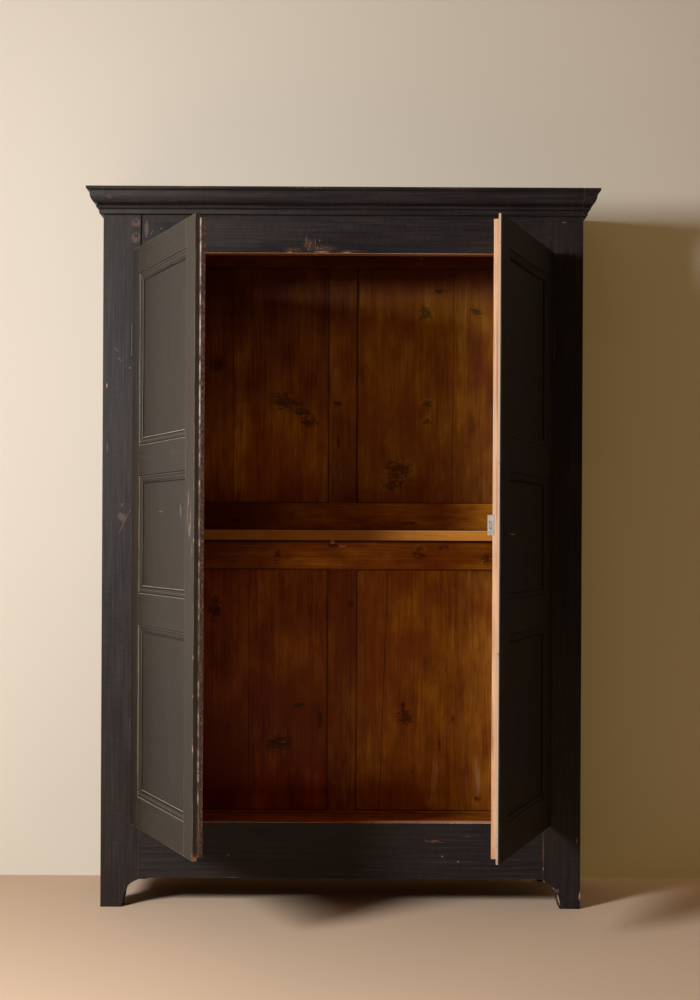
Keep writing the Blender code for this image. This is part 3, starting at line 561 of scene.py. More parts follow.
# Painted light and shade on the left door: darker towards its foot, lighter towards its free
# edge
LEFT_PAINTED_SHADING = (
    (UPRIGHT, 0.64, 0.24, (0.76, 0.77, 0.8)),
    (ACROSS, 0.43, 0.56, (1.45, 1.42, 1.42)),
)
# The doors' blacks are lit and shaded copies of one paint: the right door's is darker and
# duller, painted shade, and the left door's carries painted highlights and painted light and
# shade
CARCASS_BLACK = Paint(CARCASS_PAINT, 0.44, 0.2, 0.0026, 0.25, 0.08)
LEFT_LIT_BLACK = Paint(DOOR_PAINT, 0.48, 0.25, 0.003, 0.85, 0.45, 1, LEFT_PAINTED_SHADING)
RIGHT_SHADED_BLACK = Paint(SHADED_PAINT, 0.64, 0.08, 0.0014, 0.35, 0.2, 0.12)


# The lines of a moulding, as (distance outside the panel, half width, strength): dark lines
# of painted shade along its steps and grooves, and lit lines of painted highlights on its
# arrises, strongest on the bottom mouldings
RECESS_SHADE_LINES = {
    "top": ((0.0006, 0.0021, 1), (0.0155, 0.0011, 0.8), (0.0212, 0.0016, 1)),
    "bottom": ((0.0045, 0.0012, 0.9), (0.019, 0.0013, 0.9)),
    "hinge": ((0.001, 0.0028, 1), (0.0238, 0.0012, 0.6)),
    "meeting": ((0.0006, 0.0016, 0.7),),
}
LIT_LINES = {
    "top": ((0.0184, 0.0008, 0.25),),
    "bottom": ((0.0016, 0.0009, 1), (0.0118, 0.0007, 0.35), (0.0222, 0.0008, 0.8)),
    "hinge": ((0.0185, 0.0026, 0.75),),
    "meeting": (),
}


def moulding_lines(shader, point, openings):
    """(dark, lit): painted shade along the steps and grooves of the mouldings around a door's
    panels and painted highlights on their arrises; the openings are given as (lowest across,
    lowest up, highest across, highest up)."""
    x, y, z = shader.split(point)
    dark = lit = 0
    for x0, z0, x1, z1 in openings:
        reaches = {
            "top": shader.subtract(z, z1),
            "bottom": shader.subtract(z0, z),
            "hinge": shader.subtract(x0, x),
            "meeting": shader.subtract(x, x1),
        }
        for side, reach in reaches.items():
            others = [other for key, other in reaches.items() if key != side]
            beside = shader.most(*others)
            here = shader.rise(shader.subtract(reach, beside), -0.0002, 0.0004)
            found = []
            for lines in (RECESS_SHADE_LINES[side], LIT_LINES[side]):
                line = 0
                for at, half, strength in lines:
                    away = shader.math("ABSOLUTE", shader.subtract(reach, at))
                    band = shader.multiply(shader.rise(away, half, 0.4 * half), strength)
                    line = shader.most(line, band)
                found.append(shader.multiply(line, here))
            dark = shader.most(dark, found[0])
            lit = shader.most(lit, found[1])
    front = past(shader, y, MOULDING_DEPTH, -0.0005)
    return shader.multiply(dark, front), shader.multiply(lit, front)


def painted(name, place, axis, seed, paint, wear, layers=(), openings=()):
    """Black paint over pine. Layers are (mask maker, colour or the name of a wood) where
    the wood is bare; openings are those of a door's panels."""
    shader = Shader(name)
    point = shader.place(place)
    grained = along_grain(shader, point, axis, seed)
    fibres = shader.noise(grained, PAINT_FIBRES, detail=4)
    streaks = shader.noise(grained, PAINT_STREAKS, detail=4, shift=(3, 1, 4))
    strokes = shader.noise(grained, PAINT_STROKES, detail=3, shift=(5, 9, 2))
    cloud = shader.noise(grained, PAINT_CLOUD, detail=5, shift=(8, 2, 6))
    colour = shader.mix(shader.rise(cloud, 0.4, 0.6), *paint.tints)
    texture = shader.total((0.42, fibres), (0.36, streaks), (0.22, strokes))
    colour = shader.lay(colour, shader.rise(texture, 0.47, 0.62), 0.36, PAINT_RUBBED)
    colour = shader.mix(shader.rise(texture, 0.48, 0.36), colour, PAINT_DARK)
    # Painted light and shade: parts of the board made lighter or darker
    colour = shaded(shader, point, colour, cloud, paint.painted_shading)

    edge = shader.edge(paint.arris)
    patches = shader.noise(grained, PAINT_PATCHES, detail=4, shift=(2, 5, 1))
    crumbs = shader.noise(grained, PAINT_CRUMBS, detail=4, roughness=0.7)
    rubbed_arris = shader.multiply(edge, shader.rise(patches, 0.3, 0.6))
    colour = shader.lay(colour, rubbed_arris, paint.rubbed, PAINT_ARRIS)
    worn = shader.total((0.5, edge), (0.8, patches), (0.7, crumbs))
    start = 1.46 - 0.12 * wear.edges
    worn = shader.rise(worn, start, start + 0.08)
    revealed = shader.mix(shader.rise(crumbs, 0.44, 0.62), RUST, CHIP)
    colour = shader.mix(worn, colour, revealed)
    found = {}
    for marks, over, strength in (
        (wear.halos, HALO, 0.45),
        (wear.rust, RUST, 0.9),
        (wear.chips, CHIP, 0.95),
    ):
        if marks:
            found[over] = shader.multiply(shader.marks(point, marks, crumbs), strength)
    if wear.specks:
        specks = shader.noise(point, PAINT_SPECKS, detail=4, roughness=0.8)
        specks = shader.feathered(point, wear.specks, specks, 0.5)
        found[RUST_SPECK] = shader.multiply(specks, 0.85)
    if wear.rubs:
        scratches = shader.noise(grained, PAINT_SCRATCHES, detail=4, roughness=0.7)
        found[RUB] = shader.multiply(shader.feathered(point, wear.rubs, scratches, 0.62), 0.52)
    for over, mask in found.items():
        colour = shader.mix(mask, colour, over)
        worn = shader.most(worn, mask)
    # Painted shade: darker in corners, grooves and recesses
    deep = shader.rise(shader.cavity(0.007), 0.76, 0.42)
    if openings:
        dark, lit = moulding_lines(shader, point, openings)
        deep = shader.most(deep, dark)
        # Painted highlights on the mouldings' arrises, broken up in patches
        highlight_breakup = shader.blend(shader.rise(crumbs, 0.36, 0.56), 0.45, 1)
        colour = shader.lay(colour, shader.multiply(lit, highlight_breakup), paint.lit, LIT_ARRIS)
    colour = shader.lay(colour, deep, 0.9, RECESS_SHADE)

    gloss = shader.total((0.24, cloud), (0.34, texture), (paint.roughness - 0.29, 1))
    roughness = shader.blend(shader.most(worn, deep), gloss, 0.85)
    if layers:
        wood, _ = varnish(shader, point, grained, Board(tint=DOOR_BACK_TINT))
        pale = bare(shader, grained)
        torn = shader.mix(shader.rise(crumbs, 0.46, 0.66), TORN_DARK, TORN_LIGHT)
        woods = {"varnish": wood, "bare": pale, "torn": torn}
    for mask, over in layers:
        open_wood = mask(shader, point, crumbs)
        colour = shader.mix(open_wood, colour, woods[over] if isinstance(over, str) else over)
        roughness = shader.blend(open_wood, roughness, 0.6)
    swell = shader.noise(point, PAINT_SWELL, detail=2)
    grain = shader.total((0.09, fibres), (paint.grain, streaks), (0.06, strokes), (0.8, swell))
    sunk = shader.total((0.22, worn), (0.4, deep)) if openings else shader.multiply(worn, 0.22)
    height = shader.subtract(grain, sunk)
    normal = shader.bump(height, PAINT_RELIEF, 0.8)
    return shader.finish(colour, roughness, normal, specular=paint.specular)


def iron(name, seed):
    """Hinge iron under the same black paint, with a little rust."""
    shader = Shader(name)
    point = shader.place(CARCASS)
    mottle = shader.noise(point, (90, 90, 90), detail=5, shift=(seed, 0, 0))
    rust = shader.rise(mottle, 0.58, 0.72)
    colour = shader.mix(rust, IRON_BLACK, IRON_RUST)
    normal = shader.bump(mottle, IRON_RELIEF, 0.6)
    return shader.finish(colour, shader.blend(rust, 0.52, 0.8), normal, specular=0.3)


def steel(name, place, seed=0):
    shader = Shader(name)
    point = shader.place(place)
    brushed = shader.noise(point, (60, 60, 1400), shift=(seed, 0, 0))
    stain = shader.noise(point, (150, 150, 110), detail=4, shift=(0, seed, 0))
    colour = shader.mix(shader.rise(stain, 0.4, 0.62), STEEL_BRIGHT, STEEL_STAINED)
    roughness = shader.blend(brushed, 0.42, 0.62)
    relief = shader.bump(brushed, STEEL_RELIEF, 0.4)
    return shader.finish(colour, roughness, relief, metallic=0.35)


def end_grain(name, place, colours):
    """The heads of pegs."""
    shader = Shader(name)
    point = shader.place(place)
    speckle = shader.noise(point, (900, 900, 900), detail=3)
    colour = shader.mix(shader.rise(speckle, 0.38, 0.62), *colours)
    return shader.finish(colour, 0.7, shader.bump(speckle, PEG_RELIEF, 0.5), specular=0.3)


# Masks of what is bare, or has a finish of its own
DEPTH_BLUR = 0.0002
HEIGHT_BLUR = 0.0004
STEP_BLUR = 0.0003
RAGGED = 0.004


def past(shader, value, at, blur):
    """1 past a place, or before it where the blur is negative."""
    return shader.rise(value, at - blur, at + blur)


def behind(depth, blur=DEPTH_BLUR):
    """Everything further back than a depth behind the front face."""
    return lambda shader, point, _: past(shader, shader.split(point)[DEEP], depth, blur)


def before(depth):
    return behind(depth, -DEPTH_BLUR)


def above(height, ragged_by=RAGGED, blur=HEIGHT_BLUR):
    """Above a height, with a ragged border."""

    def mask(shader, point, ragged):
        z = shader.split(point)[UPRIGHT]
        level = shader.total((1, z), (ragged_by, ragged), (-0.5 * ragged_by, 1))
        return past(shader, level, height, blur)

    return mask


def below(height, ragged_by=RAGGED):
    return above(height, ragged_by, -HEIGHT_BLUR)


def within(across, front, back):
    """Beyond a distance across, between two depths: one step of a door's edge."""

    def mask(shader, point, _):
        x, y, _ = shader.split(point)
        return shader.multiply(
            past(shader, x, across, STEP_BLUR),
            past(shader, y, front, STEP_BLUR),
            past(shader, y, back, -STEP_BLUR),
        )

    return mask


def patchy(mask, along, low, high):
    """A mask that comes and goes along the board's height."""

    def broken(shader, point, ragged):
        change = shader.noise(point, (9, 9, along), detail=5, roughness=0.7)
        return shader.multiply(mask(shader, point, ragged), shader.rise(change, low, high))

    return broken


def both(*masks):
    """Where all of the masks are."""

    def mask(shader, point, ragged):
        return shader.multiply(*(part(shader, point, ragged) for part in masks))

    return mask


def inside_of_side(shader, point, _):
    """The inner faces of the sides: nearer to the middle than the panels' middle."""
    x = shader.math("ABSOLUTE", shader.split(point)[ACROSS])
    return past(shader, x, SIDE_PANEL_MIDDLE, -STEP_BLUR)


# Where the back's boards meet
MUNTIN_SIDE = 0.0428
MID_RAIL_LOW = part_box("back_mid_rail")[0].z
MID_RAIL_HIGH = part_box("back_mid_rail")[1].z
TOP_RAIL_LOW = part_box("back_top_rail")[0].z
BOTTOM_RAIL_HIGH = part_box("back_bottom_rail")[1].z


def grooves(side, low, high):
    """The dark lines around one of the back's panels: dark joints, with painted shade beside
    the muntin and rails.
    """
    return (
        (ACROSS, side * MUNTIN_SIDE, 0.0022),
        (UPRIGHT, low + 0.0005, 0.0022),
        (UPRIGHT, high - 0.0005, 0.0016),
    )


# Marks seen in the photograph, each as (across, up, width, height) in millimetres, with its
# turn in degrees if it has one, in the coordinates of its board's group
# The (axis, from, to, tint) rows below are painted light and shade
BOARDS = {
    "back_top_rail": Board(tint=(0.42, 0.3, 0.5)),
    "back_upper_left_panel": Board(
        tint=(0.98, 1, 1.3),
        painted_shading=(
            (UPRIGHT, 1.5, 1.78, (0.45, 0.36, 0.6)),
            (UPRIGHT, 1.5, 1.25, (1.9, 2.3, 1.5)),
            (ACROSS, -0.32, -0.45, (0.8, 0.66, 0.9)),
        ),
        knots=(
            (-176, 1434, 150, 100), (-124, 1402, 120, 50, 14), (-102, 1374, 90, 70, 30),
            (-378, 1545, 75, 80), (-120, 1120, 50, 16),
        ),
        joint=((-0.329, 1.13), (-0.333, 1.84)),
        lines=grooves(-1, MID_RAIL_HIGH, TOP_RAIL_LOW),
    ),
    "back_upper_muntin": Board(
        tint=(0.95, 0.98, 1),
        painted_shading=((UPRIGHT, 1.58, 1.8, (0.42, 0.34, 0.6)),),
        # The line along the muntin's right edge is painted shade
        lines=((ACROSS, 0.0408, 0.0028),),
        knots=((-15, 1429, 60, 30), (-14, 1320, 16, 80), (-20, 1245, 14, 14)),
    ),
    "back_upper_right_panel": Board(
        tint=(1.4, 1.8, 1.5),
        painted_shading=(
            (UPRIGHT, 1.66, 1.81, (0.35, 0.24, 0.6)),
            (ACROSS, 0.3, 0.4, (0.66, 0.56, 0.8)),
        ),
        knots=(
            (285, 1770, 65, 34, -12), (247, 1702, 70, 80, 25), (400, 1709, 90, 40, 20),
            (253, 1430, 60, 50), (251, 1376, 50, 40), (158, 1186, 150, 50, -8),
            (165, 1232, 140, 110), (330, 1249, 26, 24),
        ),
        joint=((0.329, 1.13), (0.334, 1.84)),
        lines=grooves(1, MID_RAIL_HIGH, TOP_RAIL_LOW),
    ),
    "back_mid_rail": Board(
        tint=(1.68, 1.92, 1.8),
        painted_shading=((ACROSS, -0.1, -0.34, (0.52, 0.42, 0.8)),),
        scuffs=((0, 1000, 40, 14),),
        # The mark at (-30, 1000) among these is a painted shadow of the shelf's peg
        knots=(
            (234, 984, 65, 80, 20), (304, 998, 80, 20, -6), (434, 965, 50, 70),
            (-196, 974, 34, 60), (-30, 1000, 60, 24), (200, 1070, 90, 20), (-320, 1075, 80, 20),
        ),
        # The line at 1.0155 is a painted shadow under the shelf
        lines=((UPRIGHT, MID_RAIL_LOW + 0.0015, 0.0016), (UPRIGHT, 1.0155, 0.006)),
    ),
    "back_lower_left_panel": Board(
        tint=(1.08, 0.94, 0.9),
        painted_shading=(
            (ACROSS, -0.26, -0.42, (0.8, 0.62, 0.9)),
            (UPRIGHT, 0.45, 0.28, (1.2, 0.9, 1.1)),
        ),
        knots=(
            (-385, 815, 70, 140), (-66, 478, 36, 100), (-190, 405, 140, 100, 10),
            (-130, 520, 60, 26), (-264, 286, 14, 16),
        ),
        joint=((-0.28, 0.22), (-0.281, 0.92)),
        lines=grooves(-1, BOTTOM_RAIL_HIGH, MID_RAIL_LOW),
    ),
    "back_lower_muntin": Board(
        tint=(1.12, 1.12, 1),
        knots=((26, 826, 30, 36),),
        lines=((ACROSS, 0.026, 0.001),),
    ),
    "back_lower_right_panel": Board(
        tint=(1.66, 2.05, 1.6),
        painted_shading=((ACROSS, 0.26, 0.42, (0.7, 0.6, 0.9)),),
        knots=(
            (190, 485, 80, 80, 12), (184, 515, 30, 70), (312, 628, 12, 32), (334, 482, 20, 44),
            (296, 404, 14, 56), (176, 716, 14, 14), (213, 318, 13, 15), (408, 243, 40, 36),
        ),
        scuffs=(
            (279, 300, 34, 200, 4), (270, 236, 54, 70), (410, 305, 26, 170, -3),
            (394, 632, 10, 10),
        ),
        joint=((0.114, 0.213), (0.137, 0.925)),
        lines=grooves(1, BOTTOM_RAIL_HIGH, MID_RAIL_LOW),
    ),
    "back_bottom_rail": Board(tint=(1.9, 2.1, 1.5)),
    "floor_board": Board(tint=(1.6, 1.8, 1.5)),
    "shelf": Board(
        tint=(1.08, 1.4, 3.6),
        knots=((262, 1033, 260, 4, 1), (90, 1041, 140, 3), (-190, 1031, 3, 20)),
        scuffs=((-27, 1012, 16, 12),),
    ),
}

WEAR = {
    "front_left_post": Wear(
        edges=1.05,
        chips=((-653.5, 1445, 3, 18),),
        rust=(
            (-619, 1518, 3.6, 18, -40), (-590, 1494, 9, 7), (-604, 1067, 3, 85, 25),
            (-588, 1098, 5, 6), (-652, 1275, 4, 30),
        ),
        rubs=(
            (-615, 1117, 3, 14), (-608, 1115, 3, 22, 28), (-616, 1088, 3, 10),
            (-628, 1545, 3, 30, -40),
        ),
        halos=((-574, 1896, 32, 30), (-575, 1854, 32, 36), (-610, 1080, 30, 26, 30)),
    ),
    "front_right_post": Wear(
        edges=1.1,
        chips=(
            (562.2, 112, 2.2, 12), (564, 73, 6, 10), (575, 64, 6, 7, 30), (590, 56, 4, 10, -30),
            (605, 26, 5, 34, -15), (663, 36, 5, 28, 8),
        ),
        rust=((562, 155, 2.6, 130),),
        rubs=((612, 1902, 24, 4), (655, 190, 8, 30)),
        halos=((600, 50, 20, 16),),
    ),
    "frieze_rail": Wear(
        edges=1,
        chips=(
            (-60, 1817.5, 50, 4), (10, 1816.5, 34, 3), (-148, 1816.5, 18, 3), (-96, 1824, 5, 4),
            (-72, 1829, 4, 3),
        ),
        rust=((-92, 1838, 3, 26, 8), (-78, 1842, 2.6, 30, -6), (-104, 1847, 2.6, 36, 5)),
        specks=(
            (-96, 1838, 60, 60), (-60, 1826, 170, 40), (20, 1820, 170, 16),
            (-140, 1824, 100, 24), (-546, 1866, 16, 40),
        ),
        rubs=((-66, 1848, 3, 30, -10), (-530, 1870, 3, 30, 30), (-505, 1880, 10, 6, 20)),
        halos=((-546, 1880, 14, 50),),
    ),
    "front_bottom_rail": Wear(
        edges=0.8,
        chips=((326, 130, 5, 4), (282, 144, 4, 4), (-310, 145, 3, 5)),
        rust=((262, 187, 26, 3, -14), (240, 186, 20, 2.6, 18), (278, 183, 18, 2.4, 8)),
        specks=((258, 186, 70, 16), (350, 200, 50, 8)),
        rubs=((-300, 83, 50, 4),),
    ),
    "cornice_front": Wear(
        edges=0.9,
        specks=(
            (-645, 1962, 36, 26), (300, 1987, 300, 6), (-100, 1987, 220, 6),
            (-420, 1988, 200, 6),
        ),
    ),
    "cornice_left": Wear(edges=1.25),
    "cornice_right": Wear(edges=1.3),
    "left_door_meeting_stile": Wear(
        edges=1.15,
        chips=((575, 498, 5, 14), (575, 404, 4, 8), (575, 274, 6, 22), (575, 785, 5, 10)),
        rust=((574, 12, 20, 18), (575, 620, 4, 10)),
        rubs=(
            (531, 886, 22, 80), (540, 809, 26, 70), (550, 838, 16, 160), (525, 850, 12, 120),
            (560, 760, 16, 60),
        ),
    ),
    "left_door_middle_panel": Wear(rubs=((262, 859, 60, 5), (440, 860, 18, 60))),
    "left_door_bottom_panel": Wear(
        chips=((488, 456, 10, 4),),
        rust=(
            (293, 422, 14, 4), (341, 413, 12, 4), (381, 442, 10, 3), (400, 336, 20, 4),
            (167, 168, 12, 4), (248, 215, 12, 3), (426, 172, 12, 4),
        ),
    ),
    "left_door_hinge_stile": Wear(rubs=((50, 1200, 8, 14),)),
    "right_door_middle_panel": Wear(chips=((433, 804, 60, 3.5),)),
    "right_door_bottom_panel": Wear(rubs=((323, 519, 18, 7),)),
    "right_door_hinge_stile": Wear(rubs=((71, 768, 12, 4),)),
    "right_door_meeting_stile": Wear(edges=1.15),
}


# How far inside a face its finish ends, so that no border shows on the face beside it
SKIN = 0.0006
WIDE_SKIN = 0.001
POST_SKIN = 0.0005
REAR_SKIN = 0.0015
RAIL_TOP_SKIN = 0.0012
FRIEZE_LIP = 0.0016
RAIL_INSIDE = 0.02
SHELF_TOP_SKIN = 0.0028
EDGE_SKIN = 0.0008
STEP_SKIN = 0.0004
LIP_START = 0.003
FOOT_CHIP = 0.01
TONGUE_CHANGE = 1.02  # where the tongue's old white turns to grey

# Words in the names of pieces
SIDES = ("left", "right")
HALVES = ("lower", "upper")
FRAME_RAILS = ("bottom", "mid", "top")
DOOR_RAILS = ("bottom", "lower", "upper", "top")
DOOR_PANELS = ("bottom", "middle", "top")

# The first seed of each group of boards, so that no two boards share a grain
CARCASS_SEED = 1
DOOR_SEED = 41
IRON_SEED = 80


def set_material(node, material):
    slots = NODES[node].data.materials
    slots.clear()
    slots.append(material)


def dress_carcass():
    seed = CARCASS_SEED
    post_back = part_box("front_left_post")[1].y - FRONT_Y
    box_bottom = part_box("floor_board")[0].z
    inside_of_post = (both(behind(post_back - POST_SKIN), above(box_bottom)), "varnish")
    layers = {
        "front_left_post": [inside_of_post],
        "front_right_post": [inside_of_post],
        "frieze_rail": [
            (behind(WIDE_SKIN), "varnish"),
            (below(OPENING_TOP + FRIEZE_LIP), BARE_ORANGE),
        ],
        "front_bottom_rail": [
            (both(behind(WIDE_SKIN), above(OPENING_BOTTOM - RAIL_INSIDE)), "varnish"),
            (above(OPENING_BOTTOM - RAIL_TOP_SKIN), "bare"),
        ],
    }
    axes = dict.fromkeys(("front_left_post", "front_right_post"), UPRIGHT)
    axes |= dict.fromkeys(("frieze_rail", "front_bottom_rail", "cornice_front"), ACROSS)
    axes |= dict.fromkeys(("cornice_left", "cornice_right"), DEEP)
    for side in SIDES:
        axes[f"rear_{side}_post"] = UPRIGHT
        axes |= {f"{side}_side_{level}_rail": DEEP for level in FRAME_RAILS}
        axes |= {f"{side}_side_{level}_panel": UPRIGHT for level in HALVES}
    for name, axis in axes.items():
        over = layers.get(name, [])
        if name.startswith("rear") or "_side_" in name:
            inside = both(inside_of_side, above(box_bottom))
            over = [(inside, "varnish"), (behind(cad_high.y - FRONT_Y - REAR_SKIN), RAW)]
        wear = WEAR.get(name, Wear())
        set_material(name, painted(name, CARCASS, axis, seed, CARCASS_BLACK, wear, over))
        seed += 1

    shelf_low, shelf_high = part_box("shelf")
    shelf_front = shelf_low.y - FRONT_Y + SKIN
    board_layers = {
        "shelf": (
            (before(shelf_front), VARNISH_LIGHT, 0.35),
            (above(shelf_high.z - SHELF_TOP_SKIN), SCUFF, 0.45),
        ),
        "floor_board": ((below(box_bottom + WIDE_SKIN), UNDERSIDE, 1),),
        "top_board": ((above(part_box("top_board")[1].z - WIDE_SKIN), RAW, 0.75),),
    }
    axes = {f"back_{level}_rail": ACROSS for level in FRAME_RAILS}
    axes |= {f"back_{level}_muntin": UPRIGHT for level in HALVES}
    axes |= {f"back_{level}_{side}_panel": UPRIGHT for level in HALVES for side in SIDES}
    axes |= {"floor_board": ACROSS, "shelf": ACROSS, "top_board": ACROSS}
    for name, axis in axes.items():
        over = board_layers.get(name, ())
        if name.startswith("back_"):
            over = ((behind(reach_in(name, CARCASS)[1][DEEP] - REAR_SKIN), RAW, 0.72),)
        board = BOARDS.get(name, Board())
        set_material(name, varnished(name, CARCASS, axis, seed, board, over))
        seed += 1


def door_openings(word, place):
    """The openings of a door's three panels, inside their mouldings."""
    x0 = reach_in(f"{word}_door_hinge_stile", place)[1][0]
    x1 = reach_in(f"{word}_door_meeting_stile", place)[0][0]
    spans = [reach_in(f"{word}_door_{level}_rail", place) for level in DOOR_RAILS]
    return [(x0, low[1][2], x1, high[0][2]) for low, high in zip(spans, spans[1:])]


def openings_near(name, place, openings):
    """The openings whose mouldings are worked on a board, or touch it."""
    low, high = reach_in(name, place)
    bottom, top = low[2] - MOULDING_WIDTH, high[2] + MOULDING_WIDTH
    return [opening for opening in openings if opening[1] < top and opening[3] > bottom]


def dress_doors():
    seed = DOOR_SEED
    stile_back = (behind(DOOR_THICK - SKIN), "varnish")
    panel_back = (behind(PANEL_BACK), "varnish")
    left_step = LEFT_EDGE - TONGUE_WIDTH
    right_step = RIGHT_EDGE - RIGHT_LIP_WIDTH
    tongue_face = within(left_step + SKIN, TONGUE_SETBACK - SKIN, TONGUE_SETBACK + SKIN)
    layer_edge = within(left_step - SKIN, 2 * SKIN, TONGUE_SETBACK - WIDE_SKIN)
    tongue_edge = within(LEFT_EDGE - WIDE_SKIN, TONGUE_SETBACK + EDGE_SKIN, DOOR_THICK)
    lip_edge = within(RIGHT_EDGE - EDGE_SKIN, LIP_START, RIGHT_LIP_THICK)
    inner_edge = within(right_step - EDGE_SKIN, RIGHT_LIP_THICK + STEP_SKIN, DOOR_THICK)
    foot_chip = both(within(left_step, WIDE_SKIN, DOOR_THICK), below(FOOT_CHIP, 0.008))
    old_white = patchy(tongue_face, 24, 0.36, 0.6)
    old_grey = patchy(tongue_face, 24, 0.44, 0.66)
    edges = {
        "left_door_meeting_stile": [
            (patchy(layer_edge, 20, 0.34, 0.52), UNDERSIDE),
            (both(old_white, above(TONGUE_CHANGE, 0.1)), TONGUE_WHITE),
            (both(old_grey, below(TONGUE_CHANGE, 0.1)), RUB),
            (tongue_edge, "torn"),
            (foot_chip, BARE_DARK),
        ],
        "right_door_meeting_stile": [
            (patchy(lip_edge, 14, 0.3, 0.42), BARE_GREY),
            (inner_edge, "bare"),
        ],
    }
    doors = (("left", LEFT_LIT_BLACK, LEFT_DOOR), ("right", RIGHT_SHADED_BLACK, RIGHT_DOOR))
    for word, paint, place in doors:
        openings = door_openings(word, place)
        boards = {f"{word}_door_{kind}_stile": UPRIGHT for kind in ("hinge", "meeting")}
        boards |= {f"{word}_door_{level}_rail": ACROSS for level in DOOR_RAILS}
        boards |= {f"{word}_door_{level}_panel": UPRIGHT for level in DOOR_PANELS}
        for name, axis in boards.items():
            over = [panel_back] if name.endswith("panel") else [stile_back]
            over += edges.get(name, [])
            near = openings_near(name, place, openings)
            wear = WEAR.get(name, Wear())
            set_material(name, painted(name, place, axis, seed, paint, wear, over, near))
            seed += 1


def dress_iron():
    seed = IRON_SEED
    for word in SIDES:
        for level in HALVES:
            for half in ("frame", "door"):
                name = f"{word}_{level}_hinge_{half}_half"
                set_material(name, iron(name, seed))
                seed += 1
    set_material("left_door_hook", iron("left_door_hook", seed))
    for name in ("lock_case", "lock_bolt"):
        set_material(name, steel(name, RIGHT_DOOR))


# Edges that use has rounded

DOOR_ROUND = 0.0007
CARCASS_ROUND = 0.0012
WELD = 0.00001
FLAT_ANGLE = math.radians(0.5)
ROUND_ANGLE = math.radians(32)
CRISP_ANGLE = math.radians(36)
EVEN_WEIGHT = 90


def round_edges(node, width):
    """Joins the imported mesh's triangles again and takes the sharpness off its edges."""
    obj = NODES[node]
    for polygon in obj.data.polygons:
        polygon.use_smooth = True
    weld = obj.modifiers.new("Weld", "WELD")
    weld.merge_threshold = WELD
    flatten = obj.modifiers.new("Flatten", "DECIMATE")
    flatten.decimate_type = "DISSOLVE"
    flatten.angle_limit = FLAT_ANGLE
    bevel = obj.modifiers.new("Round", "BEVEL")
    bevel.width = width
    bevel.segments = 2
    bevel.limit_method = "ANGLE"
    bevel.angle_limit = ROUND_ANGLE
    bevel.miter_outer = "MITER_ARC"
    split = obj.modifiers.new("Crisp", "EDGE_SPLIT")
    split.split_angle = CRISP_ANGLE
    even = obj.modifiers.new("Even", "WEIGHTED_NORMAL")
    even.weight = EVEN_WEIGHT
    even.keep_sharp = True


dress_carcass()
dress_doors()
dress_iron()
for node in NODES:
    round_edges(node, DOOR_ROUND if "_door_" in node else CARCASS_ROUND)


# Small pieces that the frame leaves to the looks

SHARP_ANGLE = math.radians(35)


def add_object(name, data):
    made = bpy.data.objects.new(name, data)
    bpy.context.scene.collection.objects.link(made)
    return made


def new_piece(name, shape, material):
    """A piece of the carcass, made in its coordinates."""
    shape.transform(CARCASS.matrix())
    bmesh.ops.recalc_face_normals(shape, faces=shape.faces)
    mesh = bpy.data.meshes.new(name)
    shape.to_mesh(mesh)
    shape.free()
    mesh.materials.append(material)
    mesh.shade_smooth()
    mesh.set_sharp_from_angle(angle=SHARP_ANGLE)
    piece = add_object(name, mesh)
    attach(piece, "carcass")


def turned(profile, centre, steps=20):
    """A round head about the Y axis, from (radius, depth) points, outermost first."""
    shape = bmesh.new()
    rings = []
    for radius, depth in profile:
        ring = []
        for i in range(steps):
            angle = 2 * math.pi * i / steps
            x = centre[0] + radius * math.cos(angle)
            z = centre[2] + radius * math.sin(angle)
            ring.append(shape.verts.new((x, centre[1] + depth, z)))
        rings.append(ring)
    for ring, following in zip(rings, rings[1:]):
        for i in range(steps):
            j = (i + 1) % steps
            shape.faces.new((ring[i], ring[j], following[j], following[i]))
    shape.faces.new(rings[0])
    shape.faces.new(list(reversed(rings[-1])))
    return shape


PEG_RADIUS = 0.004
PEG_DEPTH = 0.0027
PEG_DROPS = (0.075, 0.115)
PEG_INSET = 0.014
PEG_FRONT = 0.0003


def build_pegs():
    """The heads of the pegs that pin the frieze's tenons."""
    profile = (
        (0.55 * PEG_RADIUS, 0),
        (0.88 * PEG_RADIUS, 0.1 * PEG_DEPTH),
        (PEG_RADIUS, 0.35 * PEG_DEPTH),
        (PEG_RADIUS, PEG_DEPTH),
    )
    for side, word in ((-1, "left"), (1, "right")):
        material = end_grain(f"{word}_peg_wood", CARCASS, PEG_COLOURS[word])
        for number, drop in enumerate(PEG_DROPS, start=1):
            centre = (side * (OPENING_HALF + PEG_INSET), PEG_FRONT, FRIEZE_TOP - drop)
            shape = turned(profile, centre)
            name = f"{word}_frieze_peg_{number}"
            new_piece(name, shape, material)


GAP_SIZE = (0.0038, 0.0012, 0.1)
GAP_OVERLAP = 0.0004  # over the post's edge
GAP_PROUD = 0.00025
GAP_RISE = 0.013
GAP_SLOPE = 0.0012  # further left at the foot


def build_gap_shade():
    """A near-black strip over the gap at the frieze's left shoulder, which has drawn out of the
    post: painted shade standing in for the shade inside the gap.
    """
    shader = Shader("gap_shade")
    speckle = shader.noise(shader.place(CARCASS), (200, 200, 60))
    # Painted shade: a near-black strip where the gap's shade falls
    colour = shader.mix(speckle, *GAP_SHADE_COLOURS)
    material = shader.finish(colour, 1, specular=0)
    low = (-OPENING_HALF - GAP_OVERLAP, -GAP_PROUD, OPENING_TOP + GAP_RISE)
    shape = bmesh.new()
    bmesh.ops.create_cube(shape, size=1)
    for vertex in shape.verts:
        vertex.co = [at + size * (co + 0.5) for at, size, co in zip(low, GAP_SIZE, vertex.co)]
        if vertex.co.z < OPENING_TOP + GAP_SIZE[2] / 2:
            vertex.co.x -= GAP_SLOPE
    new_piece("frieze_gap_shade", shape, material)


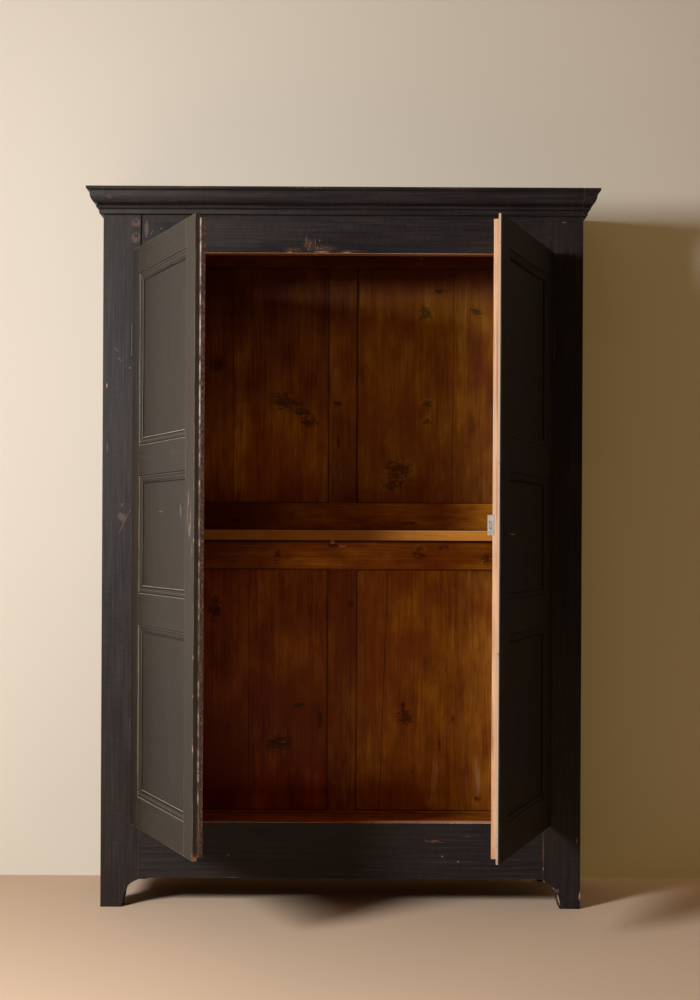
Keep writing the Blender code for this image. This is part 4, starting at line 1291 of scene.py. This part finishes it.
NAIL_RADIUS = 0.0032
NAIL_ACROSS = 0.233
NAIL_HEIGHT = 1.866
NAIL_PROUD = 0.0022
NAIL_STEPS = 14
NAIL_SEED = 3


def build_nail():
    """An old round-headed nail in the back's top rail."""
    centre = (NAIL_ACROSS, BACK_FACE - NAIL_PROUD, NAIL_HEIGHT)
    profile = (
        (0.4 * NAIL_RADIUS, 0),
        (0.8 * NAIL_RADIUS, 0.0006),
        (NAIL_RADIUS, 0.0015),
        (0.4 * NAIL_RADIUS, 0.0021),
    )
    material = steel("nail_head", CARCASS, NAIL_SEED)
    new_piece("back_rail_nail", turned(profile, centre, NAIL_STEPS), material)


build_pegs()
build_gap_shade()
build_nail()


# Stage, light and camera


def stage_plane(name, corners, colour, one_sided=False, blocks=False, glow=None):
    """A plain pale plane. Seen from behind, a one-sided one is clear, but one that blocks
    still stops the light. The glow is for the camera alone and lights nothing."""
    mesh = bpy.data.meshes.new(name)
    mesh.from_pydata(corners, [], [(0, 1, 2, 3)])
    plane = add_object(name, mesh)
    shader = Shader(name)
    point = shader.node("ShaderNodeTexCoord").outputs["Object"]
    mottle = shader.noise(point, (1.3, 1.3, 1.3), detail=5)
    dark = tuple(MOTTLE * c for c in colour)
    shader.finish(shader.mix(mottle, dark, colour), 0.85, specular=0.2)
    seen = shader.node("ShaderNodeLightPath").outputs["Is Camera Ray"]
    if glow:
        shader.put(shader.surface.inputs["Emission Color"], glow)
        shader.put(shader.surface.inputs["Emission Strength"], seen)
    if one_sided:
        output = shader.nodes["Material Output"]
        behind_it = shader.node("ShaderNodeNewGeometry").outputs["Backfacing"]
        if blocks:
            behind_it = shader.multiply(behind_it, seen)
        clear = shader.node("ShaderNodeBsdfTransparent").outputs[0]
        inputs = {0: behind_it, 1: shader.surface.outputs[0], 2: clear}
        mixed = shader.node("ShaderNodeMixShader", inputs).outputs[0]
        shader.put(output.inputs["Surface"], mixed)
    mesh.materials.append(shader.owner)
    return plane


def wall_corners(back, half, height):
    return [(-half, back, 0), (half, back, 0), (half, back, height), (-half, back, height)]


def build_stage():
    half = STAGE_SIZE / 2
    floor = [(-half, -half, 0), (half, -half, 0), (half, half, 0), (-half, half, 0)]
    stage_plane("floor", floor, FLOOR_COLOUR)
    back = cad_high.y + WALL_GAP
    wall = wall_corners(back, half, half)
    backdrop = stage_plane("backdrop", wall, WALL_COLOUR, one_sided=True, glow=WALL_GLOW)
    backdrop.visible_diffuse = False
    backdrop.visible_shadow = False
    backdrop.visible_transmission = False
    foot = wall_corners(back - FOOT_GAP, FOOT_HALF, FOOT_HEIGHT)
    stage_plane("backdrop_foot", foot, WALL_COLOUR, one_sided=True, blocks=True, glow=WALL_GLOW)


def build_key():
    lamp = bpy.data.lights.new("key", "AREA")
    lamp.shape = "DISK"
    lamp.size = KEY_SIZE
    lamp.energy = KEY_POWER
    lamp.color = KEY_COLOUR
    key = add_object("key", lamp)
    key.location = (KEY_PLACE[0], FRONT_Y + KEY_PLACE[1], KEY_PLACE[2])
    aim = Vector(KEY_AIM) - key.location
    key.rotation_euler = aim.to_track_quat("-Z", "Y").to_euler()


def build_world():
    """A dim warm room, brighter at the front left, dark low down behind, and bright on the
    right and high up behind for the sides and back."""
    world = bpy.data.worlds.new("studio")
    shader = Shader("studio", world)
    direction = shader.node("ShaderNodeTexCoord").outputs["Generated"]
    x, y, z = shader.split(direction)
    front = shader.rise(y, 0.2, -0.25)
    side = shader.blend(shader.rise(x, 0.15, -0.45), RIGHT_FILL, LEFT_FILL)
    rear = shader.multiply(shader.rise(y, 0, 0.5), shader.rise(z, 0.22, 0.5))
    level = shader.blend(shader.rise(z, 0.04, 0.24), LOW_FILL, 1)
    ahead = shader.multiply(front, side, level)
    aside = shader.rise(x, 0.78, 0.95)
    strength = shader.total((REAR_FILL, rear), (SIDE_FILL, aside), (1, ahead))
    shader.put(shader.surface.inputs["Color"], FILL_COLOUR)
    shader.put(shader.surface.inputs["Strength"], strength)
    bpy.context.scene.world = world


def build_camera():
    camera = add_object("camera", bpy.data.cameras.new("camera"))
    camera.location = (CAMERA_X, FRONT_Y - CAMERA_DISTANCE, CAMERA_HEIGHT)
    upright = Matrix.Rotation(math.radians(90), 4, "X")
    camera.rotation_euler = (upright @ Matrix.Rotation(CAMERA_ROLL, 4, "Z")).to_euler()
    camera.data.sensor_width = SENSOR
    camera.data.lens = SENSOR * FOCAL_PIXELS / PHOTO_HEIGHT
    camera.data.shift_y = (HORIZON_PIXEL - PHOTO_MIDDLE) / PHOTO_HEIGHT
    bpy.context.scene.camera = camera
    bpy.context.scene.view_settings.view_transform = "Standard"


build_stage()
build_key()
build_world()
build_camera()
